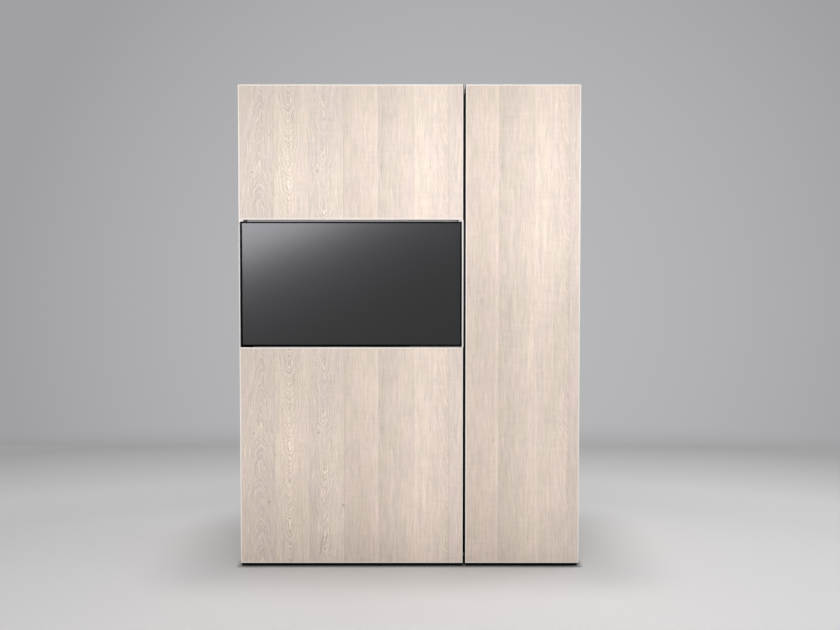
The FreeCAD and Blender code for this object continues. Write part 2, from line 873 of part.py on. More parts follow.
def make_worktop():
    body = new_body("worktop", ("bay_left", "y_worktop", "z_worktop_under"))
    pad(
        body,
        rectangle(sketch(body, "XY_Plane"), "0", "0", "bay_width", "worktop_depth"),
        "worktop_thickness",
    )
    front = lies_at("Y", 0)
    top = lies_at("Z", value("worktop_thickness"))
    soften(body, "Fillet", "worktop_edge_radius", lambda edge: front(edge) and top(edge))
    through = "worktop_thickness + 2 * overrun"
    cutouts = sketch(body, "XY_Plane", "-overrun")
    rectangle(
        cutouts,
        "sink_x - bay_left - bowl_width / 2 - bowl_cutout_play",
        "bowl_front - y_worktop - bowl_cutout_play",
        "bowl_width + 2 * bowl_cutout_play",
        "bowl_length + 2 * bowl_cutout_play",
    )
    rectangle(
        cutouts,
        "hob_x - bay_left - hob_width / 2 + hob_rim",
        "hob_front - y_worktop + hob_rim",
        "hob_width - 2 * hob_rim",
        "hob_length - 2 * hob_rim",
    )
    circle(cutouts, "sink_x - bay_left", "tap_y - y_worktop", "tap_shank_diameter + 2 * running_clearance")
    pocket(body, cutouts, through, reverse=True)
    sub_part("worktop", body)

    cleats = [
        block(
            "cleat",
            (x, "y_inner_back - cleat_length", "z_worktop_under - cleat_height"),
            ("cleat_width", "cleat_length", "cleat_height"),
        )
        for x in ("bay_left", "bay_right - cleat_width")
    ]
    sub_part("worktop_cleats", group("worktop_cleats", cleats))
    splash = ("bay_width", "splash_thickness", "wall_unit_height - worktop_height")
    sub_part("splashback", block("splashback", ("bay_left", "y_splash", "worktop_height"), splash))


def make_sink():
    """A pressed steel bowl that hangs in the worktop by its rim."""
    body = new_body("sink_blank", ("sink_x", "sink_y", "worktop_height"))

    def bowl_outline(lift, inset):
        plan = sketch(body, "XY_Plane", lift)
        width, length = f"bowl_width - 2 * {inset}", f"bowl_length - 2 * {inset}"
        return rectangle(plan, f"-({width}) / 2", f"-({length}) / 2", f"({width})", f"({length})")

    pad(body, bowl_outline("0", "0"), "bowl_drop", reverse=True)
    soften(body, "Fillet", "bowl_corner_radius", upright)
    soften(body, "Fillet", "bowl_floor_radius", lies_at("Z", -value("bowl_drop")))
    rim = sketch(body, "XY_Plane")
    rectangle(
        rim,
        "-bowl_width / 2 - bowl_rim",
        "-bowl_length / 2 - bowl_rim",
        "bowl_width + 2 * bowl_rim",
        "bowl_length + 2 * bowl_rim",
    )
    pad(body, rim, "bowl_sheet")
    rim_radius = "bowl_corner_radius + bowl_rim"
    far = value("bowl_width") / 2 + value("bowl_rim")
    corner = lies_at("X", far)
    other = lies_at("X", -far)
    soften(body, "Fillet", rim_radius, lambda edge: upright(edge) and (corner(edge) or other(edge)))
    inside = sink_hollow()
    solid = cut("sink_pressing", body, [inside])
    drain = rod(
        "sink_drain_hole",
        ("sink_x", "sink_y", "z_bowl_floor - overrun"),
        "drain_diameter",
        "bowl_sheet + 2 * overrun",
    )
    sub_part("sink_bowl", cut("sink_bowl_open", solid, [drain]))


def sink_hollow():
    """The space inside the bowl: the bowl's own form, one sheet thickness smaller, and open at the top."""
    body = new_body("sink_hollow", ("sink_x", "sink_y", "worktop_height"))
    plan = sketch(body, "XY_Plane", "bowl_sheet + overrun")
    width, length = "(bowl_width - 2 * bowl_sheet)", "(bowl_length - 2 * bowl_sheet)"
    rectangle(plan, f"-{width} / 2", f"-{length} / 2", width, length)
    pad(body, plan, "bowl_drop + overrun", reverse=True)
    soften(body, "Fillet", "bowl_corner_radius - bowl_sheet", upright)
    floor = -(value("bowl_drop") - value("bowl_sheet"))
    soften(body, "Fillet", "bowl_floor_radius - bowl_sheet", lies_at("Z", floor))
    return body


def make_drain():
    """The strainer in the bowl's floor, with a ring of slots, and the bottle trap screwed under it."""
    flange_r, tail_r = "drain_flange_diameter / 2", "drain_diameter / 2 - running_clearance"
    top = "bowl_sheet + drain_flange_height"
    profile = [
        ("0", "-drain_tail_length"),
        (tail_r, "-drain_tail_length"),
        (tail_r, "bowl_sheet"),
        (flange_r, "bowl_sheet"),
        (f"{flange_r} - drain_flange_height", top),
        ("0", top),
    ]
    body = turned("sink_strainer", ("sink_x", "sink_y", "z_bowl_floor"), profile)
    slots = sketch(body, "XY_Plane", f"{top} + overrun")
    for number in range(DRAIN_SLOTS):
        turn = 360 / DRAIN_SLOTS * number
        ring = "drain_slot_ring_diameter / 2"
        circle(slots, f"{ring} * cos({turn})", f"{ring} * sin({turn})", "drain_slot_diameter")
    pocket(body, slots, "drain_tail_length / 2 + overrun")
    sub_part("sink_strainer", body)

    bottle_r, nut_r, pipe_r = "trap_bottle_diameter / 2", "trap_nut_diameter / 2", "trap_pipe_diameter / 2"
    z_pipe = "service_height - z_trap_top"
    bottle_top = f"{z_pipe} + trap_pipe_diameter / 2 + trap_nut_height"
    bottle = [
        ("0", f"{bottle_top} - trap_bottle_height"),
        (f"{bottle_r} - trap_nut_height / 2", f"{bottle_top} - trap_bottle_height"),
        (bottle_r, f"{bottle_top} - trap_bottle_height + trap_nut_height / 2"),
        (bottle_r, f"{bottle_top} - trap_nut_height / 2"),
        (pipe_r, bottle_top),
        (pipe_r, "-trap_nut_height"),
        (nut_r, "-trap_nut_height"),
        (nut_r, "0"),
        ("0", "0"),
    ]
    vessel = turned("trap_vessel", ("sink_x", "sink_y", "z_trap_top"), bottle)
    outlet = rod(
        "trap_outlet",
        ("sink_x", "sink_y", "service_height"),
        "trap_pipe_diameter",
        "trap_outlet_y - sink_y",
        "y",
    )
    sub_part("sink_trap", fuse("sink_trap", [vessel, outlet]))


def make_tap():
    """A swan neck mixer: a column with a cartridge on its side, a spout that swivels on it and a lever."""
    flange_r, column_r = "tap_flange_diameter / 2", "tap_column_diameter / 2"
    spigot_r = "tap_spigot_diameter / 2"
    column_top = "tap_flange_height + tap_column_height"
    profile = [
        ("0", "-worktop_thickness"),
        ("tap_shank_diameter / 2", "-worktop_thickness"),
        ("tap_shank_diameter / 2", "0"),
        (flange_r, "0"),
        (flange_r, "tap_flange_height / 2"),
        (column_r, "tap_flange_height"),
        (column_r, column_top),
        (spigot_r, column_top),
        (spigot_r, f"{column_top} + tap_spigot_height"),
        ("0", f"{column_top} + tap_spigot_height"),
    ]
    column = turned("tap_column", ("sink_x", "tap_y", "worktop_height"), profile)
    lever_axis = ("sink_x", "tap_y", "z_tap_lever")
    cartridge = rod("tap_cartridge", lever_axis, "tap_cartridge_diameter", "tap_cartridge_reach", "x")
    trunnion = rod(
        "tap_trunnion",
        lever_axis,
        "tap_lever_pin_diameter",
        "tap_cartridge_reach + tap_lever_pin_length",
        "x",
    )
    sub_part("tap_body", fuse("tap_body", [column, cartridge, trunnion]))
    make_tap_spout()
    make_tap_lever()


def make_tap_spout():
    """A collar that turns on the column's spigot, with a swan neck tube that ends in an open outlet."""
    collar_r, tube_r = "tap_column_diameter / 2", "tap_tube_diameter / 2"
    bore_r = "tap_spigot_diameter / 2 + shaft_clearance"
    bore_top = "tap_spigot_height + running_clearance"
    profile = [
        (bore_r, "0"),
        (collar_r, "0"),
        (collar_r, "tap_collar_height - tap_collar_height / 4"),
        (tube_r, "tap_collar_height + tap_collar_height / 4"),
        ("0", "tap_collar_height + tap_collar_height / 4"),
        ("0", bore_top),
        (bore_r, bore_top),
    ]
    body = turned("tap_spout", ("sink_x", "tap_y", "z_tap_collar"), profile)
    path = body.newObject("Sketcher::SketchObject", "tap_spout_path")
    path.AttachmentSupport = [(next(f for f in body.Origin.OriginFeatures if f.Role == "YZ_Plane"), "")]
    path.MapMode = "FlatFace"
    start, rise, bend, drop = (
        value(size) for size in ("tap_collar_height", "tap_tube_rise", "tap_bend_radius", "tap_outlet_drop")
    )
    crown = Vector(-bend, start + rise)
    path.addGeometry(Part.LineSegment(Vector(0, start), Vector(0, start + rise)), False)
    half_turn = 3.14159265358979
    path.addGeometry(Part.ArcOfCircle(Part.Circle(crown, Vector(0, 0, 1), bend), 0, half_turn), False)
    path.addGeometry(
        Part.LineSegment(Vector(-2 * bend, start + rise), Vector(-2 * bend, start + rise - drop)),
        False,
    )
    pin_point(path, 0, 1, ("0", "tap_collar_height"))
    pin_point(path, 0, 2, ("0", "tap_collar_height + tap_tube_rise"))
    pin_point(path, 1, 3, ("-tap_bend_radius", "tap_collar_height + tap_tube_rise"))
    pin_point(path, 2, 1, (None, "tap_collar_height + tap_tube_rise"))
    pin_point(path, 2, 2, ("-2 * tap_bend_radius", "tap_collar_height + tap_tube_rise - tap_outlet_drop"))
    path.addConstraint(Sketcher.Constraint("Coincident", 0, 2, 1, 1))
    path.addConstraint(Sketcher.Constraint("Coincident", 1, 2, 2, 1))
    section = circle(sketch(body, "XY_Plane", "tap_collar_height"), "0", "0", "tap_tube_diameter")
    doc.recompute()
    tube = body.newObject("PartDesign::AdditivePipe", "tap_spout_tube")
    tube.Profile = section
    tube.Spine = (path, ["Edge1", "Edge2", "Edge3"])
    doc.recompute()
    outlet_z = "tap_collar_height + tap_tube_rise - tap_outlet_drop - overrun"
    outlet = circle(sketch(body, "XY_Plane", outlet_z), "0", "-2 * tap_bend_radius", "tap_outlet_diameter")
    pocket(body, outlet, "tap_outlet_depth + overrun", reverse=True)
    sub_part("tap_spout", body)


def make_tap_lever():
    """A round cap that turns on the cartridge's trunnion, with a slim lever standing on it."""
    cap_r = "tap_cartridge_diameter / 2"
    bore_r, bore_end = "tap_lever_pin_diameter / 2 + shaft_clearance", "tap_lever_pin_length"
    edge = "tap_lever_cap_length / 6"
    profile = [
        (bore_r, "0"),
        (cap_r, "0"),
        (cap_r, f"tap_lever_cap_length - {edge}"),
        (f"{cap_r} - {edge}", "tap_lever_cap_length"),
        ("0", "tap_lever_cap_length"),
        ("0", bore_end),
        (bore_r, bore_end),
    ]
    cap = turned("tap_lever_cap", ("tap_cap_x", "tap_y", "z_tap_lever"), profile, "x")
    lever = rod(
        "tap_lever_rod",
        ("tap_cap_x + tap_lever_cap_length / 2", "tap_y", "z_tap_lever + tap_cartridge_diameter / 4"),
        "tap_lever_diameter",
        "tap_lever_length",
    )
    bore = rod(
        "tap_lever_bore",
        ("tap_cap_x - overrun", "tap_y", "z_tap_lever"),
        f"2 * ({bore_r})",
        f"{bore_end} + overrun",
        "x",
    )
    whole = fuse("tap_lever_solid", [cap, lever])
    sub_part("tap_lever", cut("tap_lever", whole, [bore]))


def make_hob():
    """A glass plate over a steel box that drops into the worktop, with a turning knob for each zone."""
    plate = new_body("hob_glass", ("hob_x - hob_width / 2", "hob_front", "worktop_height"))
    pad(plate, rectangle(sketch(plate, "XY_Plane"), "0", "0", "hob_width", "hob_length"), "hob_glass")
    soften(plate, "Chamfer", "hob_glass_bevel", lies_at("Z", value("hob_glass")))
    holes = sketch(plate, "XY_Plane", "-overrun")
    for side in ("-", "+"):
        circle(
            holes,
            f"hob_width / 2 {side} knob_spacing / 2",
            "knob_front_margin",
            "knob_shaft_diameter + 2 * running_clearance",
        )
    pocket(plate, holes, "hob_glass + 2 * overrun", reverse=True)
    sub_part("hob_plate", plate)

    box_at = (
        "hob_x - hob_width / 2 + hob_rim + hob_cutout_play",
        "hob_front + hob_rim + hob_cutout_play",
        "z_hob_box_top - hob_box_drop",
    )
    inset = "2 * hob_rim - 2 * hob_cutout_play"
    box = block("hob_box_solid", box_at, (f"hob_width - {inset}", f"hob_length - {inset}", "hob_box_drop"))
    sockets = [
        rod(
            "hob_socket",
            (f"hob_x {side} knob_spacing / 2", "knob_y", "z_hob_box_top - knob_shaft_length"),
            "knob_shaft_diameter + 2 * shaft_clearance",
            "knob_shaft_length + overrun",
        )
        for side in ("-", "+")
    ]
    sub_part("hob_housing", cut("hob_housing", box, sockets))
    for label, side in (("hob_knob_left", "-"), ("hob_knob_right", "+")):
        make_knob(label, f"hob_x {side} knob_spacing / 2")


def make_knob(label, x):
    """A skirted knob with a straight grip across it, on a shaft that reaches through the glass."""
    skirt_r, shaft_r = "knob_diameter / 2", "knob_shaft_diameter / 2"
    foot = "running_clearance"
    profile = [
        ("0", "running_clearance - hob_glass - knob_shaft_length"),
        (shaft_r, "running_clearance - hob_glass - knob_shaft_length"),
        (shaft_r, foot),
        (skirt_r, foot),
        (skirt_r, "knob_skirt_height"),
        (f"{skirt_r} - knob_draft", "knob_height - knob_edge_radius"),
        (f"{skirt_r} - knob_draft - knob_edge_radius", "knob_height"),
        ("0", "knob_height"),
    ]
    body = turned(label, (x, "knob_y", "z_hob_top"), profile)
    flats = sketch(body, "XY_Plane", "knob_height + overrun")
    for left in ("-knob_diameter", "knob_grip_width / 2"):
        rectangle(flats, left, "-knob_diameter", "knob_diameter - knob_grip_width / 2", "2 * knob_diameter")
    pocket(body, flats, "knob_height - knob_skirt_height + overrun")
    sub_part(label, body)


# Base cupboard: two doors that slide past each other, and a shelf

def make_base():
    tracks = []
    for label, z, height, way in (
        ("floor_track", "z_floor", "track_floor_height", ""),
        ("head_track", "z_worktop_under", "track_head_height", "-"),
    ):
        body = new_body(label, ("bay_left", "y_track", z))
        points = [("0", "0")]
        for channel_number in range(2):
            near = f"track_fin + {channel_number} * (channel + track_fin)"
            far = f"{near} + channel"
            low, high = f"{way}track_web", f"{way}{height}"
            points += [(f"{near} - track_fin", high), (near, high), (near, low), (far, low)]
        points += [
            ("track_depth - track_fin", f"{way}{height}"),
            ("track_depth", f"{way}{height}"),
            ("track_depth", "0"),
        ]
        pad(body, outline(sketch(body, "YZ_Plane"), points), "bay_width")
        tracks.append(body)
    sub_part("sliding_door_tracks", group("sliding_door_tracks", tracks))

    for label, x, y, cup_x in (
        ("sliding_door_left", "bay_left + slide_end_play", "y_slide_front", "finger_cup_inset"),
        (
            "sliding_door_right",
            "bay_right - slide_end_play - slide_width",
            "y_slide_rear",
            "slide_width - finger_cup_inset",
        ),
    ):
        body = new_body(label, (x, y, "z_slide"))
        pad(
            body,
            rectangle(sketch(body, "XZ_Plane"), "0", "0", "slide_width", "slide_height"),
            "slide_thickness",
            reverse=True,
        )
        cup = circle(sketch(body, "XZ_Plane", "overrun"), cup_x, "slide_height / 2", "finger_cup_diameter")
        pocket(body, cup, "finger_cup_depth + overrun")
        sub_part(label, body)

    shelf = ("bay_width", "y_inner_back - y_base_shelf", "base_shelf_thickness")
    sub_part("base_shelf", block("base_shelf", ("bay_left", "y_base_shelf", "base_shelf_height"), shelf))


# Wall unit: shelves, lamp, socket and hood

def make_wall_unit():
    short = "bay_right - wall_split_x - board"
    boards = [
        block("wall_unit_shelf", (x, "y_wall_unit", z), (width, "wall_unit_depth", "board"))
        for x, z, width in (
            ("bay_left", "wall_unit_height", "wall_split"),
            ("bay_left", "wall_shelf_height", "wall_split"),
            ("wall_split_x + board", "z_hood_shelf", short),
        )
    ]
    divider = ("board", "wall_unit_depth", "z_ceiling - wall_unit_height")
    boards.append(block("wall_unit_divider", ("wall_split_x", "y_wall_unit", "wall_unit_height"), divider))
    sub_part("wall_unit_boards", group("wall_unit_boards", boards))

    lamp = new_body(
        "strip_lamp",
        ("bay_left + wall_split / 2 - lamp_length / 2", "y_wall_unit + lamp_inset", "wall_unit_height"),
    )
    slope = "(lamp_width - lamp_lens_width) / 2"
    section = [
        ("0", "0"),
        ("lamp_width", "0"),
        ("lamp_width", "-lamp_height / 2"),
        (f"lamp_width - {slope}", "-lamp_height"),
        (slope, "-lamp_height"),
        ("0", "-lamp_height / 2"),
    ]
    pad(lamp, outline(sketch(lamp, "YZ_Plane"), section), "lamp_length")
    sub_part("strip_lamp", lamp)
    make_socket()


def make_socket():
    body = new_body(
        "wall_socket",
        ("bay_right - socket_end_margin - socket_width", "y_splash", "worktop_height + socket_rise"),
    )
    pad(
        body,
        rectangle(sketch(body, "XZ_Plane"), "0", "0", "socket_width", "socket_height"),
        "socket_thickness",
    )
    soften(
        body,
        "Fillet",
        "socket_corner_radius",
        lambda edge: abs(edge.tangentAt(edge.FirstParameter).y) > 0.9,
    )
    cups = sketch(body, "XZ_Plane", "socket_thickness + overrun")
    for share in (
        "socket_width / 4 + socket_corner_radius / 2",
        "3 * socket_width / 4 - socket_corner_radius / 2",
    ):
        circle(cups, share, "socket_height / 2", "socket_cup_diameter")
    pocket(body, cups, "socket_cup_depth + overrun")
    sub_part("wall_socket", body)


def make_hood():
    """A flat hood: a casing with a lipped channel under it, and a visor that pulls out with its filter."""
    casing = new_body("hood_casing", ("hood_left", "y_hood", "wall_unit_height"))
    lip, gauge = "hood_wall + hood_lip", "hood_lip_gauge"
    channel_top = "hood_lip_gauge + 2 * running_clearance + hood_visor_thickness"
    section = [
        ("0", "0"),
        (lip, "0"),
        (lip, gauge),
        ("hood_wall", gauge),
        ("hood_wall", channel_top),
        ("hood_width - hood_wall", channel_top),
        ("hood_width - hood_wall", gauge),
        (f"hood_width - {lip.replace(' + ', ' - ')}", gauge),
        (f"hood_width - {lip.replace(' + ', ' - ')}", "0"),
        ("hood_width", "0"),
        ("hood_width", "hood_height"),
        ("0", "hood_height"),
    ]
    pad(casing, outline(sketch(casing, "XZ_Plane"), section), "hood_depth", reverse=True)
    inside = sketch(casing, "XY_Plane", "hood_height + overrun")
    inner_width, inner_depth = "(hood_width - 2 * hood_wall)", "(hood_depth - 2 * hood_wall)"
    rectangle(inside, "hood_wall", "hood_wall", inner_width, inner_depth)
    pocket(casing, inside, f"hood_height - ({channel_top}) - hood_wall + overrun")
    sub_part("hood_casing", casing)

    drum_r, inlet_r = "blower_diameter / 2", "blower_inlet_diameter / 2"
    drum = [
        ("0", "blower_inlet_depth"),
        (inlet_r, "blower_inlet_depth"),
        (inlet_r, "0"),
        (drum_r, "0"),
        (drum_r, "blower_height - blower_edge_radius"),
        (f"{drum_r} - blower_edge_radius", "blower_height"),
        ("0", "blower_height"),
    ]
    drum_z = f"wall_unit_height + {channel_top} + hood_wall"
    drum_at = ("hood_left + hood_width / 2", "y_hood + hood_depth / 2", drum_z)
    sub_part("hood_blower", turned("hood_blower", drum_at, drum))

    visor_x = "hood_left + hood_wall + hood_visor_play"
    visor = new_body("hood_visor", (visor_x, "y_grip", "z_visor"))
    reach = "hood_grip_depth + visor_depth"
    pad(visor, rectangle(sketch(visor, "XY_Plane"), "0", "0", "visor_width", reach), "hood_visor_thickness")
    grip = sketch(visor, "XY_Plane", "-(z_visor - wall_unit_height)")
    rectangle(grip, "-hood_wall - hood_visor_play", "0", "hood_width", "hood_grip_depth")
    pad(visor, grip, "hood_grip_height")
    low = -value("z_visor - wall_unit_height")
    front, top = lies_at("Y", 0), lies_at("Z", low + value("hood_grip_height"))
    soften(visor, "Chamfer", "hood_grip_bevel", lambda edge: front(edge) and top(edge))
    window = sketch(visor, "XY_Plane", "-overrun")
    rectangle(
        window,
        "visor_width / 2 - filter_width / 2 - hood_filter_play",
        "hood_grip_depth + hood_filter_margin - hood_filter_play",
        "filter_width + 2 * hood_filter_play",
        "filter_length + 2 * hood_filter_play",
    )
    pocket(visor, window, "hood_filter_depth + overrun", reverse=True)
    buttons = sketch(visor, "XZ_Plane", "overrun")
    for number in range(2):
        circle(
            buttons,
            f"visor_width - button_edge_inset - {number} * button_spacing",
            "hood_grip_height / 2 - (z_visor - wall_unit_height)",
            "button_diameter + 2 * button_play",
        )
    pocket(visor, buttons, "button_depth + button_proud + overrun")
    sub_part("hood_visor", visor)

    filter_at = (
        f"{visor_x} + visor_width / 2 - filter_width / 2",
        "y_grip + hood_grip_depth + hood_filter_margin",
        "z_visor",
    )
    mesh = new_body("hood_filter", filter_at)
    pad(
        mesh,
        rectangle(sketch(mesh, "XY_Plane"), "0", "0", "filter_width", "filter_length"),
        "hood_filter_depth",
    )
    slots = sketch(mesh, "XY_Plane", "-overrun")
    for number in range(FILTER_SLOTS):
        step = number - (FILTER_SLOTS - 1) / 2
        y = f"filter_length / 2 + {step} * hood_filter_pitch - hood_filter_slot / 2"
        rectangle(slots, "hood_filter_pitch", y, "filter_width - 2 * hood_filter_pitch", "hood_filter_slot")
    pocket(mesh, slots, "hood_filter_depth / 2 + overrun", reverse=True)
    sub_part("hood_filter", mesh)

    radius, edge = "button_diameter / 2", "button_proud / 4"
    profile = [
        ("0", "-button_depth"),
        (radius, "-button_depth"),
        (radius, f"button_proud - {edge}"),
        (f"{radius} - {edge}", "button_proud"),
        ("0", "button_proud"),
    ]
    for number, label in enumerate(("hood_fan_button", "hood_light_button")):
        x = f"{visor_x} + visor_width - button_edge_inset - {number} * button_spacing"
        at = (x, "y_grip", "wall_unit_height + hood_grip_height / 2")
        sub_part(label, turned(label, at, profile, "-y"))


# Column: refrigerator below, larder above

def make_fridge():
    """An insulated cabinet with a stepped floor over the compressor, and grooves for its glass shelves."""
    shell = block(
        "fridge_block",
        ("fridge_left", "y_fridge", "z_floor"),
        ("fridge_width", "fridge_depth", "fridge_height"),
    )
    mouth = ("cavity_left", "y_fridge - overrun", "z_cavity")
    upper = ("cavity_left", "y_fridge - overrun", "z_floor + fridge_step_height")
    tools = [
        block(
            "cavity_foot",
            mouth,
            ("cavity_width", "fridge_depth - fridge_step_depth + overrun", "cavity_height"),
        ),
        block(
            "cavity_main",
            upper,
            (
                "cavity_width",
                "cavity_depth + overrun",
                "z_fridge_top - fridge_wall - z_floor - fridge_step_height",
            ),
        ),
        block(
            "engine_room",
            ("fridge_left - overrun", "y_fridge_back - fridge_engine_depth", "z_floor - overrun"),
            (
                "fridge_width + 2 * overrun",
                "fridge_engine_depth + overrun",
                "fridge_engine_height + overrun",
            ),
        ),
    ]
    shelves = []
    shelf_width = "cavity_width + 2 * fridge_shelf_groove - 2 * fridge_shelf_play"
    for number in range(FRIDGE_SHELVES):
        z = f"z_floor + fridge_step_height + {number} * fridge_shelf_pitch + fridge_shelf_pitch / 2"
        groove_at = (
            "cavity_left - fridge_shelf_groove",
            "y_fridge + fridge_shelf_setback - fridge_shelf_play",
            z,
        )
        groove = (
            "cavity_width + 2 * fridge_shelf_groove",
            "fridge_shelf_depth + 2 * fridge_shelf_play",
            "fridge_shelf_glass + 2 * fridge_shelf_play",
        )
        tools.append(block("shelf_groove", groove_at, groove))
        shelf_at = (
            "cavity_left - fridge_shelf_groove + fridge_shelf_play",
            "y_fridge + fridge_shelf_setback",
            z,
        )
        shelf = (shelf_width, "fridge_shelf_depth", "fridge_shelf_glass")
        shelves.append(block("fridge_shelf", shelf_at, shelf))
    dial_hole = rod(
        "dial_hole",
        (
            "cavity_left + cavity_width / 2",
            "y_fridge + dial_setback",
            "z_fridge_top - fridge_wall - overrun",
        ),
        "dial_shaft_diameter + 2 * shaft_clearance",
        "dial_shaft_length + overrun",
    )
    sub_part("fridge_cabinet", cut("fridge_cabinet", shell, [*tools, dial_hole]))
    sub_part("fridge_shelves", group("fridge_shelves", shelves))
    make_compressor()
    make_dial()


def make_compressor():
    can_r = "compressor_diameter / 2"
    seam_r = f"{can_r} + compressor_seam_proud"
    seam_low, seam_high = "compressor_seam_height", "compressor_seam_height + compressor_seam_width"
    profile = [
        ("0", "0"),
        (f"{can_r} - compressor_shoulder", "0"),
        (can_r, "compressor_shoulder"),
        (can_r, seam_low),
        (seam_r, seam_low),
        (seam_r, seam_high),
        (can_r, seam_high),
        (can_r, "compressor_height - compressor_shoulder"),
        (f"{can_r} - compressor_shoulder", "compressor_height"),
        ("0", "compressor_height"),
    ]
    at = ("cavity_left + cavity_width / 2", "y_fridge_back - fridge_engine_depth / 2", "z_floor")
    sub_part("fridge_compressor", turned("fridge_compressor", at, profile))


def make_dial():
    """The thermostat's dial under the cavity's ceiling, with a grip across it."""
    radius, shaft_r = "dial_diameter / 2", "dial_shaft_diameter / 2"
    profile = [
        ("0", "dial_shaft_length - running_clearance"),
        (shaft_r, "dial_shaft_length - running_clearance"),
        (shaft_r, "-running_clearance"),
        (radius, "-running_clearance"),
        (radius, "dial_bevel - dial_height"),
        (f"{radius} - dial_bevel", "-dial_height"),
        ("0", "-dial_height"),
    ]
    at = ("cavity_left + cavity_width / 2", "y_fridge + dial_setback", "z_fridge_top - fridge_wall")
    body = turned("fridge_dial", at, profile)
    flats = sketch(body, "XY_Plane", "-dial_height - overrun")
    for left in ("-dial_diameter", "dial_grip_width / 2"):
        rectangle(flats, left, "-dial_diameter", "dial_diameter - dial_grip_width / 2", "2 * dial_diameter")
    pocket(body, flats, "dial_grip_drop + overrun", reverse=True)
    sub_part("fridge_dial", body)


def make_larder():
    cover = ("column_width", "larder_depth", "board")
    shelves = [block("fridge_cover", ("column_left", "y_larder", "z_cover"), cover)]
    pins = []
    width = "column_width - 2 * larder_shelf_play"
    for number in range(1, LARDER_SHELVES + 1):
        at = ("column_left + larder_shelf_play", "y_larder", f"larder_floor + {number} * larder_pitch")
        shelves.append(block("larder_shelf", at, (width, "larder_depth", "larder_shelf_thickness")))
    length = "shelf_pin_depth + shelf_pin_proud"
    slim = "shelf_pin_diameter - 2 * shaft_clearance"
    for y, z in larder_pin_places():
        pins.append(rod("shelf_pin", ("column_left - shelf_pin_depth", y, z), slim, length, "x"))
        pins.append(rod("shelf_pin", ("column_right + shelf_pin_depth", y, z), slim, length, "-x"))
    sub_part("larder_shelves", group("larder_shelves", shelves))
    sub_part("shelf_pins", group("shelf_pins", pins))


# Leaves

def front_panel_board(label, x, z, width, height):
    """A wood faced front with a fine bevel round its face."""
    body = new_body(label, (x, "y_front", z))
    pad(body, rectangle(sketch(body, "XZ_Plane"), "0", "0", width, height), "front_panel", reverse=True)
    soften(body, "Chamfer", "front_edge_bevel", lies_at("Y", 0))
    sub_part(label, body)


def hinge_places():
    """The middle height of each hinge."""
    return [f"z_base + hinge_end_margin + {number} * hinge_pitch" for number in range(HINGES_PER_LEAF)]


def stile_with_notches(name, x, notch_x):
    """A frame upright with its back outer corner cut away round each hinge barrel."""
    plank = block(
        f"{name}_plank",
        (x, "y_frame", "z_base"),
        ("board", "y_leaf_back - y_frame", "leaf_height"),
    )
    size = ("hinge_notch + overrun", "hinge_notch + overrun", "hinge_height + 2 * hinge_notch_play")
    notches = [
        block(
            f"{name}_notch",
            (notch_x, "y_leaf_back - hinge_notch", f"{z} - hinge_height / 2 - hinge_notch_play"),
            size,
        )
        for z in hinge_places()
    ]
    return cut(name, plank, notches)


def niche_jamb(name, x):
    """A lipping on the front of one stile, cut round the screen, which shows beside and above it."""
    strip = block(
        f"{name}_strip",
        (x, "y_jamb", "z_niche + niche_jamb_play"),
        ("board", "y_frame - y_jamb", "niche_height - 2 * niche_jamb_play"),
    )
    room = block(
        f"{name}_room",
        ("screen_left - screen_edge_clearance", "y_jamb - overrun", "z_niche - overrun"),
        (
            "screen_width + 2 * screen_edge_clearance",
            "y_frame - y_jamb + 2 * overrun",
            "z_screen_top + screen_edge_clearance - z_niche + overrun",
        ),
    )
    return cut(name, strip, [room])


def make_left_leaf():
    front_panel_board("upper_front_panel", "x_left", "z_niche_top", "left_leaf_width", "upper_front_height")
    front_panel_board("lower_front_panel", "x_left", "z_base", "left_leaf_width", "lower_front_height")
    plain = block(
        "left_stile_plain",
        ("left_frame_right - board", "y_frame", "z_base"),
        ("board", "y_leaf_back - y_frame", "leaf_height"),
    )
    notched = stile_with_notches("left_stile_notched", "x_left", "x_left - overrun")
    rails = [
        block("left_rail", ("x_left + board", "y_frame", z), ("left_rail_length", "rail_depth", "board"))
        for z in (
            "z_base",
            "z_niche + niche_sill_reveal - board",
            "z_niche_top - niche_head_reveal",
            "z_top - board",
        )
    ]
    jambs = [niche_jamb("jamb_left", "x_left"), niche_jamb("jamb_right", "left_frame_right - board")]
    sub_part("left_leaf_frame", group("left_leaf_frame", [notched, plain, *rails, *jambs]))
    backing = ("left_rail_length", "leaf_board", "leaf_height")
    sub_part(
        "left_leaf_board",
        block("left_leaf_board", ("x_left + board", "y_leaf_board", "z_base"), backing),
    )
    shelf = tray(
        "left_tray",
        ("0", "0", "0"),
        "left_tray_width",
        "tray_depth",
        "tray_back_height",
        "tray_front_height",
        "tray_wall",
    )
    places = [
        (
            "x_left + left_leaf_width / 2 - left_tray_width / 2",
            "y_leaf_back",
            f"z_left_tray + {n} * left_tray_pitch",
        )
        for n in range(LEFT_TRAYS)
    ]
    sub_part("left_leaf_trays", copies("left_leaf_trays", shelf, places))


